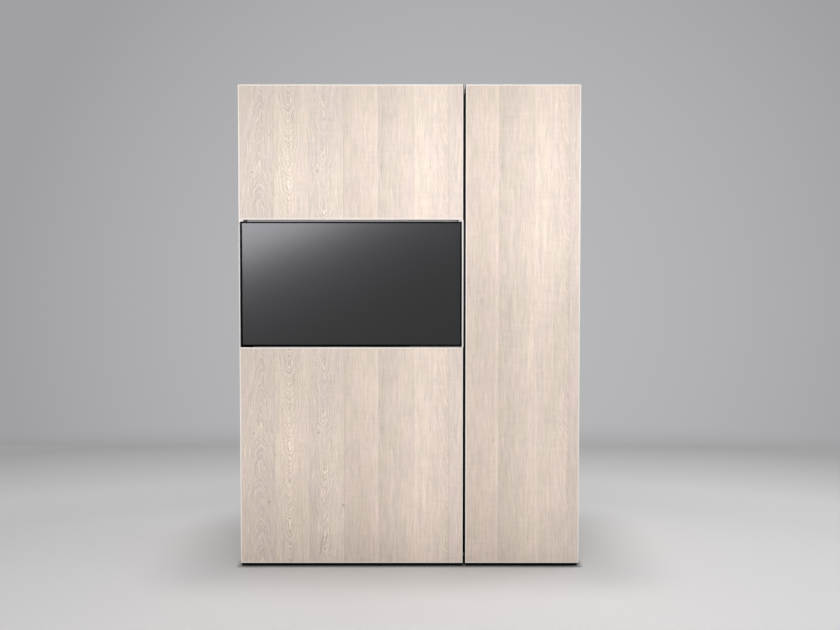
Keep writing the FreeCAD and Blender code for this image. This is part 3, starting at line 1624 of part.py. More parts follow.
def make_right_leaf():
    front_panel_board("tall_front_panel", "right_leaf_left", "z_base", "right_leaf_width", "leaf_height")
    plain = block(
        "right_stile_plain", ("right_leaf_left", "y_frame", "z_base"), (
            "board",
            "y_leaf_back - y_frame",
            "leaf_height",
        )
    )
    notched = stile_with_notches("right_stile_notched", "x_right - board", "x_right - hinge_notch")
    rails = [
        block(
            "right_rail",
            ("right_leaf_left + board", "y_frame", z),
            ("right_rail_length", "rail_depth", "board"),
        )
        for z in ("z_base", "right_mid_rail_height", "z_top - board")
    ]
    sub_part("right_leaf_frame", group("right_leaf_frame", [plain, notched, *rails]))
    backing = ("right_rail_length", "leaf_board", "leaf_height")
    at = ("right_leaf_left + board", "y_leaf_board", "z_base")
    sub_part("right_leaf_board", block("right_leaf_board", at, backing))
    shelf = tray(
        "right_tray",
        ("0", "0", "0"),
        "right_tray_width",
        "tray_depth",
        "tray_back_height",
        "tray_front_height",
        "tray_wall",
    )
    x = "column_left + column_width / 2 - right_tray_width / 2"
    places = [
        (x, "y_leaf_back", f"z_right_tray + {n} * right_tray_pitch")
        for n in range(RIGHT_TRAYS)
    ]
    sub_part("right_leaf_trays", copies("right_leaf_trays", shelf, places))
    make_fridge_door()


def make_fridge_door():
    """The refrigerator's own insulated door, bolted to the leaf, with its seal and bottle bins."""
    door = new_body("fridge_door", ("fridge_door_left", "y_fridge_door", "z_fridge_door"))
    plan = rectangle(sketch(door, "XZ_Plane"), "0", "0", "fridge_door_width", "fridge_door_height")
    pad(door, plan, "fridge_door_thickness", reverse=True)
    soften(
        door,
        "Fillet",
        "fridge_door_edge_radius",
        lambda edge: abs(edge.tangentAt(edge.FirstParameter).y) > 0.9,
    )
    sub_part("fridge_door", door)

    seal = new_body("fridge_gasket", ("fridge_door_left", "y_gasket", "z_fridge_door"))
    edge = "fridge_door_edge_radius"
    ring = sketch(seal, "XZ_Plane")
    rectangle(ring, edge, edge, f"fridge_door_width - 2 * {edge}", f"fridge_door_height - 2 * {edge}")
    inner = f"({edge} + gasket_width)"
    rectangle(ring, inner, inner, f"fridge_door_width - 2 * {inner}", f"fridge_door_height - 2 * {inner}")
    pad(seal, ring, "gasket_depth", reverse=True)
    soften(seal, "Chamfer", "gasket_bevel", lies_at("Y", value("gasket_depth")))
    sub_part("fridge_gasket", seal)

    shelf = tray(
        "fridge_bin",
        ("0", "0", "0"),
        "bin_width",
        "bin_depth",
        "bin_back_height",
        "bin_front_height",
        "bin_wall",
    )
    places = [("bin_left", "y_gasket", f"bin_first_height + {n} * bin_pitch") for n in range(FRIDGE_BINS)]
    sub_part("fridge_door_bins", copies("fridge_door_bins", shelf, places))


# Hinges

def make_hinges():
    """Each hinge: two knuckles on a plate at the carcass, one knuckle on a plate in the leaf, and a pin."""
    barrel, bore = "hinge_barrel_diameter", "hinge_pin_diameter + 2 * shaft_clearance"
    half = "hinge_height / 2"
    seat = "hinge_inset + leaf_clearance"
    inner = "(hinge_notch - hinge_inset)"
    frame_wings, pins = [], []
    for side, x in (("left", "hinge_left_x"), ("right", "hinge_right_x")):

        def inwards(near, width):
            """The low X of something that lies inwards of the pin, on this side of the unit."""
            return near if side == "left" else f"-({near}) - ({width})"

        plate_at = (
            inwards("-hinge_plate_offset", "hinge_plate_width"),
            f"{seat} - hinge_plate",
            f"-{half}",
        )
        solids = [
            block(f"{side}_frame_plate", plate_at, ("hinge_plate_width", "hinge_plate", "hinge_height")),
        ]
        for low in (f"-{half}", f"{half} - hinge_knuckle"):
            solids.append(rod(f"{side}_frame_knuckle", ("0", "0", low), barrel, "hinge_knuckle"))
            web = ("hinge_web", f"{seat} - hinge_plate / 2", "hinge_knuckle")
            solids.append(block(f"{side}_frame_web", ("-hinge_web / 2", "0", low), web))
        hole = rod(
            f"{side}_frame_bore",
            ("0", "0", f"-{half} - overrun"),
            bore,
            "hinge_height + 2 * overrun",
        )
        frame_wing = cut(f"{side}_frame_wing", fuse(f"{side}_frame_solid", solids), [hole])

        knuckle = rod(f"{side}_leaf_knuckle", ("0", "0", "-hinge_knuckle / 2"), barrel, "hinge_knuckle")
        plate_at = (inwards(f"{inner} - hinge_plate", "hinge_plate"), f"-{inner}", "-hinge_knuckle / 2")
        plate = block(
            f"{side}_leaf_plate",
            plate_at,
            ("hinge_plate", f"hinge_inset + {inner}", "hinge_knuckle"),
        )
        hole = rod(f"{side}_leaf_bore", ("0", "0", "-hinge_knuckle"), bore, "2 * hinge_knuckle")
        leaf_wing = cut(f"{side}_leaf_wing", fuse(f"{side}_leaf_solid", [plate, knuckle]), [hole])

        pin = rod(f"{side}_pin", ("0", "0", "0"), "hinge_pin_diameter", "hinge_height + hinge_pin_proud")
        places = [(x, "hinge_y", z) for z in hinge_places()]
        pin_places = [(x, "hinge_y", f"{z} - {half} - hinge_pin_proud / 2") for z in hinge_places()]
        frame_wings.append(copies(f"{side}_hinge_frame_wings", frame_wing, places))
        sub_part(f"{side}_hinge_leaf_wings", copies(f"{side}_hinge_leaf_wings", leaf_wing, places))
        pins.append(copies(f"{side}_hinge_pins", pin, pin_places))
    sub_part("hinge_frame_wings", group("hinge_frame_wings", frame_wings))
    sub_part("hinge_pins", group("hinge_pins", pins))


# Screen in the left leaf

def make_screen():
    """A flat screen: a slim frame, the display in it, a back cover with a deeper middle, and its bracket."""
    frame = new_body("screen_frame", ("screen_left", "y_screen", "z_screen"))
    face = rectangle(sketch(frame, "XZ_Plane"), "0", "0", "screen_width", "screen_height")
    pad(frame, face, "screen_bezel_depth", reverse=True)
    soften(
        frame,
        "Fillet",
        "screen_edge_radius",
        lambda edge: abs(edge.tangentAt(edge.FirstParameter).y) > 0.9,
    )
    tab = outline(
        sketch(frame, "XZ_Plane"),
        [
            ("screen_edge_radius", "screen_edge_radius"),
            ("screen_edge_radius", "-screen_tab_drop"),
            ("screen_tab_length - screen_tab_slope", "-screen_tab_drop"),
            ("screen_tab_length", "0"),
            ("screen_tab_length", "screen_edge_radius"),
        ],
    )
    pad(frame, tab, "screen_tab_depth", reverse=True)
    lip = "screen_bezel"
    window = sketch(frame, "XZ_Plane", "overrun")
    rectangle(window, lip, lip, f"screen_width - 2 * {lip}", f"screen_height - 2 * {lip}")
    pocket(frame, window, "screen_bezel_depth + 2 * overrun")
    key_hole = sketch(frame, "XZ_Plane", "overrun")
    circle(key_hole, "key_inset", "-screen_tab_drop / 2", "key_diameter + 2 * shaft_clearance")
    pocket(frame, key_hole, "key_length + overrun")
    sub_part("screen_frame", frame)

    glass = new_body(
        "screen_display",
        (f"screen_left + {lip}", "y_screen + screen_lip", f"z_screen + {lip}"),
    )
    face = rectangle(
        sketch(glass, "XZ_Plane"),
        "0",
        "0",
        f"screen_width - 2 * {lip}",
        f"screen_height - 2 * {lip}",
    )
    pad(glass, face, "screen_bezel_depth - screen_lip", reverse=True)
    sub_part("screen_display", glass)

    make_screen_back()
    profile = [
        ("0", "key_proud"),
        ("key_diameter / 2", "key_proud"),
        ("key_diameter / 2", "key_proud - key_length"),
        ("0", "key_proud - key_length"),
    ]
    sub_part("screen_power_key", turned("screen_power_key", ("key_x", "y_screen", "z_key"), profile, "-y"))


def make_screen_back():
    cover = new_body("screen_back_cover", ("screen_left", "y_screen_back", "z_screen"))
    margin = "screen_back_margin"
    face = sketch(cover, "XZ_Plane")
    rectangle(face, margin, margin, f"screen_width - 2 * {margin}", f"screen_height - 2 * {margin}")
    pad(cover, face, "screen_back_depth", reverse=True)
    soften(cover, "Fillet", "screen_back_radius", lies_at("Y", value("screen_back_depth")))
    bulge = sketch(cover, "XZ_Plane", "-screen_back_depth")
    rectangle(
        bulge,
        "screen_width / 2 - screen_bulge_width / 2",
        "screen_bulge_rise",
        "screen_bulge_width",
        "screen_bulge_height",
    )
    pad(cover, bulge, "screen_bulge_depth", reverse=True, taper="-screen_bulge_taper")
    vents = sketch(cover, "XZ_Plane", "-screen_back_depth - overrun")
    vent_low = "screen_bulge_rise + screen_bulge_height + screen_vent_pitch"
    for number in range(SCREEN_VENTS):
        x = f"screen_width / 2 + ({number} - {SCREEN_VENTS / 2}) * (screen_vent_length + screen_vent_pitch)"
        for row in range(2):
            low = f"{vent_low} + {row} * screen_vent_pitch"
            rectangle(vents, x, low, "screen_vent_length", "screen_vent_height")
    pocket(cover, vents, "screen_vent_depth + overrun", reverse=True)
    sub_part("screen_back_cover", cover)

    plate = block(
        "bracket_plate",
        ("screen_x - bracket_plate_width / 2", "y_bracket_plate", "z_bracket - bracket_plate_height / 2"),
        ("bracket_plate_width", "bracket_plate_gauge", "bracket_plate_height"),
    )
    pieces = [plate]
    for way in ("-", "+"):
        arm = new_body(
            "bracket_arm",
            (
                f"screen_x {way} bracket_arm_spacing / 2 - bracket_arm_width / 2",
                "y_bulge_back",
                "z_bracket - bracket_arm_length / 2",
            ),
        )
        wall = "bracket_arm_gauge"
        channel = [
            ("0", "0"),
            ("bracket_arm_width", "0"),
            ("bracket_arm_width", "bracket_arm_depth"),
            (f"bracket_arm_width - {wall}", "bracket_arm_depth"),
            (f"bracket_arm_width - {wall}", wall),
            (wall, wall),
            (wall, "bracket_arm_depth"),
            ("0", "bracket_arm_depth"),
        ]
        pad(arm, outline(sketch(arm, "XY_Plane"), channel), "bracket_arm_length")
        pieces.append(arm)
    sub_part("screen_bracket", fuse("screen_bracket", pieces))


# Build, check and write

def main():
    for make in (
        make_carcass,
        make_feet,
        make_back_panel,
        make_wall_brackets,
        make_worktop,
        make_sink,
        make_drain,
        make_tap,
        make_hob,
        make_base,
        make_wall_unit,
        make_hood,
        make_fridge,
        make_larder,
        make_left_leaf,
        make_screen,
        make_right_leaf,
        make_hinges,
    ):
        make()
    doc.recompute()
    for thing in doc.Objects:
        if "Invalid" in thing.State or "Error" in thing.State:
            raise ValueError(f"{thing.Name} failed: {thing.State}")
    os.makedirs("parts", exist_ok=True)
    for piece in sub_parts:
        if piece.Shape.isNull() or not piece.Shape.isValid() or not piece.Shape.Solids:
            raise ValueError(f"{piece.Label} has no sound solid")
    for piece in sub_parts:
        piece.Shape.exportStep(f"parts/{piece.Label}.step")
    print(f"{len(sub_parts)} sub-parts, {sum(len(piece.Shape.Solids) for piece in sub_parts)} solids")


main()
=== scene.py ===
# %% [markdown]
# # A kitchenette that shuts like a wardrobe
# Closed, this unit is three pale oak fronts and a dark screen, and a whole small kitchen hides behind
# them. Every piece already exists at its real size in a packed model, so this lesson gives each
# surface its finish, adds the small fittings that are too fine for the model, and sets up a quiet
# photo studio around it.

# %% Load the measured pieces
import math
from collections import namedtuple

import bmesh
import bpy
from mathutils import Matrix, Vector


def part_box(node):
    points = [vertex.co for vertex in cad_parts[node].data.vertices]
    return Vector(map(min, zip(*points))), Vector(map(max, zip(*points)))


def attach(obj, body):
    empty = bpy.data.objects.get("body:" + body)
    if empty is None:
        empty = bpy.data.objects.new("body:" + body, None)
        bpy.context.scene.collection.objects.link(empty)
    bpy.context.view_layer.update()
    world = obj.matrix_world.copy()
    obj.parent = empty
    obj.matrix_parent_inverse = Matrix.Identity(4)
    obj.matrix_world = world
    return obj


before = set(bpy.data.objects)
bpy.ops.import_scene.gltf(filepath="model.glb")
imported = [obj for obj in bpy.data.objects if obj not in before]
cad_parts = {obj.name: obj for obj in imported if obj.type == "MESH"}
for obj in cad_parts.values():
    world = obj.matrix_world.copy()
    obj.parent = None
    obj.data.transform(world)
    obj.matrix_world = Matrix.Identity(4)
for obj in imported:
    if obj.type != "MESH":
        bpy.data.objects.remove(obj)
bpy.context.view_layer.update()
scene = bpy.context.scene

# %% [markdown]
# ## The camera
# The photograph looks at the unit from straight in front, from the eye height of a seated viewer, and
# tips down two degrees. A camera can be placed by eye or worked out. Here the panel corners in the
# picture were matched with the panel corners in the model, which gives one place, one tilt and one
# lens, so nothing is left to taste.

# %% Put the camera where the photographer stood
CAMERA_PLACE = (0.0456, -4.245, 1.2427)
CAMERA_TIP = math.radians(1.953)
CAMERA_LENS = 38.27
SENSOR_WIDTH = 36.0

camera_data = bpy.data.cameras.new("camera")
camera_data.lens = CAMERA_LENS
camera_data.sensor_width = SENSOR_WIDTH
camera_data.dof.use_dof = False
camera = bpy.data.objects.new("camera", camera_data)
camera.location = CAMERA_PLACE
camera.rotation_euler = (math.pi / 2 - CAMERA_TIP, 0.0, 0.0)
scene.collection.objects.link(camera)
scene.camera = camera
scene.view_settings.view_transform = "Standard"
print(f"camera {CAMERA_LENS} mm at {CAMERA_PLACE}")

# %% [markdown]
# ## Short words for wiring
# A procedural finish is a small network: coordinates go in, noise and sums shape them, and the result
# drives the colour, roughness or bump of a surface. Wiring that by hand takes four lines a node. This
# class gives each common step one short word. It works in any node tree, so the sky can use it too.

# %% A class that wires nodes
class Wiring:
    """Short calls that make nodes in one tree and join them."""

    def __init__(self, tree):
        self.tree = tree

    def feed(self, socket, source):
        """A wire is joined to the socket, and a number or colour is set on it."""
        if isinstance(source, bpy.types.NodeSocket):
            self.tree.links.new(source, socket)
        else:
            socket.default_value = source

    def node(self, kind, *feeds, **settings):
        """One node: its settings by name, and a wire or a value for each input in turn."""
        made = self.tree.nodes.new("ShaderNode" + kind)
        for name, setting in settings.items():
            setattr(made, name, setting)
        for socket, source in zip(made.inputs, feeds):
            self.feed(socket, source)
        return made

    def split(self, vector):
        return self.node("SeparateXYZ", vector).outputs[:]

    def point(self, x, y, z):
        return self.node("CombineXYZ", x, y, z).outputs[0]

    def calc(self, operation, *feeds):
        return self.node("Math", *feeds, operation=operation).outputs[0]

    def chain(self, operation, feeds):
        """Joins all the feeds by one operation, one after the other."""
        running = feeds[0]
        for source in feeds[1:]:
            running = self.calc(operation, running, source)
        return running

    def total(self, *feeds):
        return self.chain("ADD", feeds)

    def times(self, *feeds):
        return self.chain("MULTIPLY", feeds)

    def less(self, first, second):
        return self.calc("SUBTRACT", first, second)

    def off(self, source, place):
        """How far a number is from a place, on either side of it."""
        return self.calc("ABSOLUTE", self.less(source, place))

    def reach(self, x, y):
        """The length of a step of x one way and y the other."""
        return self.node("VectorMath", self.point(x, y, 0.0), operation="LENGTH").outputs["Value"]

    def weigh(self, vector, weights):
        """Three numbers times three others, such as a colour through a filter."""
        return self.node("VectorMath", vector, weights, operation="MULTIPLY").outputs[0]

    def level(self, source, low, high, to_low=0.0, to_high=1.0, smooth=False):
        """Carries low to high over to another range, and stops at its ends."""
        kind = "SMOOTHSTEP" if smooth else "LINEAR"
        return self.node("MapRange", source, low, high, to_low, to_high, interpolation_type=kind).outputs[0]

    def between(self, source, low, high, soft=0.0005):
        """1 from low to high, and 0 outside them."""
        risen = self.level(source, low - soft, low)
        return self.times(risen, self.level(source, high, high + soft, 1.0, 0.0))

    def mix(self, share, first, second):
        made = self.node("Mix", data_type="RGBA")
        for socket, source in ((0, share), (6, first), (7, second)):
            self.feed(made.inputs[socket], source)
        return made.outputs[2]


print(f"{len([word for word in vars(Wiring) if not word.startswith('_')])} short words for wiring")

# %% [markdown]
# ## One finish
# Every finish here is one Principled surface. What varies over it is wired, and a number that is the
# same all over goes straight onto the surface's own socket. The coordinates are those of the piece, in
# metres, so a pattern keeps its real size and travels with a piece that moves.

# %% A class for one finish
def paint(red, green, blue):
    """A colour as it is read off a screen, 0 to 255, as the light values that a shader works in."""
    shares = [channel / 255 for channel in (red, green, blue)]
    light = [s / 12.92 if s <= 0.04045 else ((s + 0.055) / 1.055) ** 2.4 for s in shares]
    return (*light, 1.0)


class Finish(Wiring):
    """A Principled surface, and the calls that vary it."""

    def __init__(self, name, **fixed):
        self.material = bpy.data.materials.new(name)
        self.material.use_nodes = True
        super().__init__(self.material.node_tree)
        self.surface = self.tree.nodes["Principled BSDF"]
        self.drive(**fixed)

    def drive(self, **sockets):
        """Feeds the surface: drive(Base_Color=..., Roughness=...)."""
        for socket, source in sockets.items():
            self.feed(self.surface.inputs[socket.replace("_", " ")], source)

    def place(self):
        """Where the point is, in metres, in the frame of the model. It travels with the piece."""
        return self.node("TexCoord").outputs["Object"]

    def drawn(self, vector, along, lazy, busy):
        """Coordinates in which noise is drawn out along one axis: its turns in a metre both ways."""
        return self.weigh(vector, [lazy if axis == along else busy for axis in "xyz"])

    def noise(self, vector, scale, detail=2.0, rough=0.5):
        made = self.node("TexNoise")
        settings = {"Vector": vector, "Scale": scale, "Detail": detail, "Roughness": rough}
        for socket, source in settings.items():
            self.feed(made.inputs[socket], source)
        return made.outputs[0]

    def cells(self, vector, scale):
        """A mosaic in which each cell has a random shade."""
        made = self.node("TexVoronoi", feature="F1")
        self.feed(made.inputs["Vector"], vector)
        self.feed(made.inputs["Scale"], scale)
        return self.split(made.outputs["Color"])[0]

    def ramp(self, source, stops, steps=False):
        """A strip of colours along 0 to 1: stops are (place, colour)."""
        made = self.node("ValToRGB", source)
        strip = made.color_ramp
        strip.interpolation = "CONSTANT" if steps else "LINEAR"
        while len(strip.elements) < len(stops):
            strip.elements.new(1.0)
        for element, (place, colour) in zip(strip.elements, stops):
            element.position = place
            element.color = colour
        return made.outputs["Color"]

    def shade(self, colour, amount):
        """A colour made lighter or darker by a number about 1."""
        plain = isinstance(colour, tuple)
        made = self.node("VectorMath", colour[:3] if plain else colour, operation="SCALE")
        self.feed(made.inputs["Scale"], amount)
        return made.outputs[0]

    def vary(self, colour, patches, shades, fine, span, gloss):
        """Slow patches shift the shade of a colour, and a fine pattern over its span shifts the gloss."""
        self.drive(
            Base_Color=self.shade(colour, self.level(patches, 0.3, 0.7, *shades)),
            Roughness=self.level(fine, *span, *gloss),
        )

    def emboss(self, height, depth):
        """A height of 0 to 1 becomes a bump of that depth in metres."""
        made = self.node("Bump")
        self.feed(made.inputs["Height"], height)
        made.inputs["Distance"].default_value = depth
        self.drive(Normal=made.outputs[0])


print(f"white paint is {paint(255, 255, 255)} to a shader, and middle grey {paint(128, 128, 128)[0]:.3f}")

# %% [markdown]
# ## Dressing a piece
# The pieces of the packed model come with plain materials. To dress one, its material slots are emptied
# and the finish goes in. The mesh itself stays as it was measured. The names are kept, so that a
# forgotten piece can be found at the end.

# %% Give a finish to pieces of the model
dressed = set()


def dress(finish, *names):
    """Gives the finish to pieces of the packed model."""
    for name in names:
        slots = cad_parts[name].data.materials
        slots.clear()
        slots.append(finish.material)
    dressed.update(names)
    print(f"{finish.material.name}: {', '.join(names)}")


print(f"{len(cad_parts)} pieces to dress")

# %% [markdown]
# ## The studio floor
# The unit stands on a plain pale floor in front of a soft grey wall. A sheet hung behind it would hide
# the unit when it is looked at from the back, so only the floor is built. A floor is never evenly
# bright: it fades away from the lit middle and into the corner with the wall, and close to the unit
# less of the room's light reaches it. Lamps alone give some of that, and four fades by distance paint
# the rest into the floor's colour as painted shade: two from the middle of the floor, and two from the
# outline of the unit, which are the unit's painted shadow.

# %% A pale floor
FLOOR_HALF_WIDTH = 9.0
FLOOR_FRONT = -11.0
FLOOR_END = 2.636
FLOOR_WHITE = paint(255, 254, 255)
FLOOR_MIDDLE = -1.1
FLOOR_SQUEEZE = 0.75
UNIT_HALF_WIDTH = 0.745
UNIT_HALF_DEPTH = 0.345

# Each painted shade: where it starts and ends, in metres, and the shade at its dark end.
MIDDLE_PAINTED_SHADE = [(0.7, 2.1, 0.78), (2.6, 4.0, 0.66)]
# The unit's painted shadow: a soft one round its outline and a dark one at its foot.
UNIT_PAINTED_SHADOW = [(0.0, 0.5, 0.74), (0.0, 0.026, 0.45)]


def floor_paint(name):
    coat = Finish(name, Roughness=0.72)
    here = coat.place()
    x, y, _ = coat.split(here)
    from_middle = coat.reach(coat.times(x, FLOOR_SQUEEZE), coat.less(y, FLOOR_MIDDLE))
    beside = coat.calc("MAXIMUM", coat.less(coat.calc("ABSOLUTE", x), UNIT_HALF_WIDTH), 0.0)
    before = coat.calc("MAXIMUM", coat.less(coat.calc("ABSOLUTE", y), UNIT_HALF_DEPTH), 0.0)
    from_unit = coat.reach(beside, before)
    light = coat.level(coat.noise(here, 0.7, 3.0), 0.3, 0.7, 0.985, 1.01)
    # Painted shade away from the floor's middle and into the corner with the wall.
    for near, far, dark in MIDDLE_PAINTED_SHADE:
        light = coat.times(light, coat.level(from_middle, near, far, 1.0, dark))
    # Painted shadow of the unit round its outline and at its foot.
    for near, far, dark in UNIT_PAINTED_SHADOW:
        light = coat.times(light, coat.level(from_unit, near, far, dark, 1.0, smooth=True))
    coat.drive(Base_Color=coat.shade(FLOOR_WHITE, light))
    return coat


corners = [
    (-FLOOR_HALF_WIDTH, FLOOR_FRONT, 0.0),
    (FLOOR_HALF_WIDTH, FLOOR_FRONT, 0.0),
    (FLOOR_HALF_WIDTH, FLOOR_END, 0.0),
    (-FLOOR_HALF_WIDTH, FLOOR_END, 0.0),
]
floor_mesh = bpy.data.meshes.new("studio_floor")
floor_mesh.from_pydata(corners, [], [(0, 1, 2, 3)])
floor_mesh.materials.append(floor_paint("studio_floor").material)
floor = bpy.data.objects.new("studio_floor", floor_mesh)
scene.collection.objects.link(floor)
print(f"floor to {FLOOR_END} m behind the unit")

# %% [markdown]
# ## A sky that plays the wall
# A world shader can tell what kind of ray asks. The Light Path node answers 1 for rays from the camera,
# and for rays that come off a mirror or through glass. Those see a grey wall, a little brighter ahead
# and a little darker at its foot. Every other ray sees a plain white dome, which gives the soft
# shadows. The wall's brightness follows the direction that the ray looks in, so it needs no mesh.

# %% Wire the sky
BACKDROP_DIM = paint(160, 160, 162)
BACKDROP_BRIGHT = paint(185, 185, 187)
BACKDROP_MIDDLE = (0.04, 0.99, -0.02)
BACKDROP_REACH = 0.885
FOOT_LOW, FOOT_HIGH, FOOT_DARK = -0.180, -0.148, 0.84
DOME_WHITE = (1.0, 1.0, 1.0, 1.0)
DOME_STRENGTH = 0.65

world = bpy.data.worlds.new("studio_sky")
world.use_nodes = True
scene.world = world
sky = Wiring(world.node_tree)
ray = sky.node("LightPath").outputs
seen = sky.chain("MAXIMUM", [ray[f"Is {kind} Ray"] for kind in ("Camera", "Glossy", "Transmission")])
looks = sky.node("TexCoord").outputs["Generated"]
ahead = Vector(BACKDROP_MIDDLE).normalized()
towards = sky.node("VectorMath", looks, ahead, operation="DOT_PRODUCT").outputs["Value"]
wall_grey = sky.mix(sky.level(towards, BACKDROP_REACH, 1.0), BACKDROP_DIM, BACKDROP_BRIGHT)
upwards = sky.split(looks)[2]
wall_light = sky.level(upwards, FOOT_LOW, FOOT_HIGH, FOOT_DARK, 1.0, smooth=True)
wall = sky.node("Background", wall_grey, wall_light).outputs[0]
dome = sky.node("Background", DOME_WHITE, DOME_STRENGTH).outputs[0]
choice = sky.node("MixShader", seen, dome, wall).outputs[0]
sky.feed(world.node_tree.nodes["World Output"].inputs["Surface"], choice)
print(f"dome of strength {DOME_STRENGTH}, wall from {BACKDROP_DIM[0]:.2f} to {BACKDROP_BRIGHT[0]:.2f}")

# %% [markdown]
# ## The lamps
# In the photograph the fronts are brightest at head height and darkest at the floor, the shadow falls
# to the left, and a soft glow with a slanting edge sits in the upper left corner of the dark screen. So
# two wide, flat strips hang in front, a strong one high up and a weak one low down. A narrow spread
# works like a grid in front of a lamp: it keeps the light of each strip near its own height. A soft box
# shines down from the right. The glow is two white cards side by side, hung where the mirror law puts
# them: as far in front of the glass as the camera is, up and left, and rolled until their edge has the
# slant. The cards are hidden from matt surfaces and the strips from shiny ones, so each can be moved
# without spoiling the other's work.

# %% Hang two strips, a soft box and two cards
Lamp = namedtuple("Lamp", "name place aim roll size spread watts tint lights")
WHITE = (1.0, 1.0, 1.0)
STRIP_BLUE = (0.985, 1.0, 1.03)
CARD_BLUE = (0.93, 0.93, 1.0)

# What a lamp lights: matt surfaces, then shiny ones.
MATT = (True, False)
SHINY = (False, True)
ALL = (True, True)
LAMPS = [
    Lamp(
        "upper_strip", place=(0.20, -1.745, 1.7), aim=(0.20, 0.0, 1.7), roll=0.0,
        size=(2.8, 0.2), spread=110, watts=7.1, tint=STRIP_BLUE, lights=MATT,
    ),
    Lamp(
        "lower_strip", place=(-0.60, -1.545, 0.5), aim=(-0.60, 0.0, 0.5), roll=0.0,
        size=(2.8, 0.2), spread=72, watts=1.3, tint=WHITE, lights=MATT,
    ),
    Lamp(
        "right_softbox", place=(2.8, 0.3, 3.0), aim=(0.6, -0.2, 0.5), roll=0.0,
        size=(1.6, 1.6), spread=180, watts=18.0, tint=WHITE, lights=ALL,
    ),
    Lamp(
        "screen_card", place=(-1.727, -3.94, 1.999), aim=(-1.727, 0.0, 1.999), roll=21.6,
        size=(1.92, 1.2), spread=180, watts=63.0, tint=CARD_BLUE, lights=SHINY,
    ),
    Lamp(
        "screen_wing", place=(-1.215, -3.94, 2.201), aim=(-1.215, 0.0, 2.201), roll=21.6,
        size=(3.02, 1.2), spread=180, watts=76.0, tint=CARD_BLUE, lights=SHINY,
    ),
]
for lamp in LAMPS:
    light = bpy.data.lights.new(lamp.name, "AREA")
    light.shape = "RECTANGLE"
    light.size, light.size_y = lamp.size
    light.spread = math.radians(lamp.spread)
    light.energy = lamp.watts
    light.color = lamp.tint
    holder = bpy.data.objects.new(lamp.name, light)
    holder.location = lamp.place
    aim = Vector(lamp.aim) - Vector(lamp.place)
    holder.rotation_euler = aim.to_track_quat("-Z", "Y").to_euler()
    holder.rotation_euler.rotate_axis("Z", math.radians(lamp.roll))
    holder.visible_camera = False
    holder.visible_diffuse, holder.visible_glossy = lamp.lights
    scene.collection.objects.link(holder)
    print(f"{lamp.name}: {lamp.watts} W from {aim.length:.2f} m")

# %% [markdown]
# ## White-washed oak planks
# The three fronts are faced with oak strips about 152 mm wide, limed almost white: pale pigment stays
# in the open pores, so the growth rings show as thin light lines. An image of wood would tile and blur,
# so the planks are grown instead. A flat board cuts a tree's rings along hyperbolas: the ring number
# grows with the distance from the heart line, and also along it, because the tree tapers. Each plank
# says where its heart lies and how fast the rings rise. Noise bends the rest.

# %% What each plank of the pattern is like
PLANK_WIDTH = 0.1523

# heart: the tree's middle across the plank, as a share of its width; outside 0 to 1 the grain runs
# straight. spacing: from ring to ring beside the heart, in metres. rise: rings met in each metre down
# the heart, minus for arches that point up. swing: rings that it strays on the way. contrast: how
# strongly the rings show. left and right: the shade at the plank's two edges. tone: its own colour.
Plank = namedtuple("Plank", "heart spacing rise swing contrast left right tone")
PLANKS = [
    Plank(0.60, 0.026, -26.0, 3.4, 1.30, 0.956, 0.940, paint(227, 211, 198)),
    Plank(0.42, 0.014, 60.0, 7.0, 2.90, 0.978, 0.998, paint(229, 213, 198)),
    Plank(0.45, 0.015, 44.0, 7.0, 2.15, 0.953, 1.000, paint(228, 212, 199)),
    Plank(2.60, 0.012, 5.0, 2.5, 0.60, 0.940, 0.998, paint(229, 212, 198)),
    Plank(-1.40, 0.012, -6.0, 2.5, 0.60, 0.905, 1.090, paint(228, 212, 198)),
    Plank(1.02, 0.018, 34.0, 3.5, 1.10, 1.080, 1.055, paint(229, 213, 199)),
    Plank(3.40, 0.012, 4.0, 2.0, 0.45, 1.035, 1.035, paint(228, 212, 200)),
]

# Pale limed bands beside some seams: place across and half width in metres, and how much lighter.
PALE_BANDS = [(0.298, 0.008, 0.03), (0.601, 0.011, 0.07), (0.767, 0.013, 0.05)]

# Knots, then two cracks: place across and down, half sizes, all in metres, lean, and how dark.
Mark = namedtuple("Mark", "across down half_width half_height lean dark")
MARKS = [
    Mark(0.060, 0.380, 0.005, 0.005, 0.0, 0.30),
    Mark(0.344, 0.375, 0.005, 0.006, 0.0, 0.45),
    Mark(0.453, 0.696, 0.006, 0.006, 0.0, 0.42),
    Mark(0.126, 0.682, 0.007, 0.005, 0.0, 0.34),
    Mark(0.620, 0.357, 0.004, 0.006, 0.0, 0.16),
    Mark(0.620, 0.534, 0.004, 0.005, 0.0, 0.14),
    Mark(0.835, 0.357, 0.005, 0.005, 0.0, 0.10),
    Mark(0.356, 0.872, 0.0026, 0.060, -0.16, 0.48),
    Mark(0.376, 0.850, 0.0022, 0.034, -0.30, 0.38),
]
pattern_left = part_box("upper_front_panel")[0].x
print(f"{len(PLANKS)} planks from x = {pattern_left:.4f} m, {len(MARKS)} marks")

# %% [markdown]
# ## Growing the rings
# A colour strip in hard steps works as a look-up table: the plank's number goes in, and its own value
# comes out. With that, one network serves all the planks. The fraction of the ring number repeats from
# 0 to 1 in every ring, so a ramp over it draws one thin pale line in each, and a slower count draws a
# bolder line now and then. Slow noise fades the lines in and out, as liming does.

# %% Rings that noise bends
Spot = namedtuple("Spot", "across inside down plank pick")
HEART_ROUND = 0.0035
HEART_REACH = 0.046
HEART_FAR = 2.5 * HEART_REACH
PLANK_STEP = 7.3
STRAY_PACE, STRAY_STEP = 5.0, 3.7
BOLD_PACE = 0.38
BOLD_SHARE = 0.35
LINE_MIDDLE = 0.71

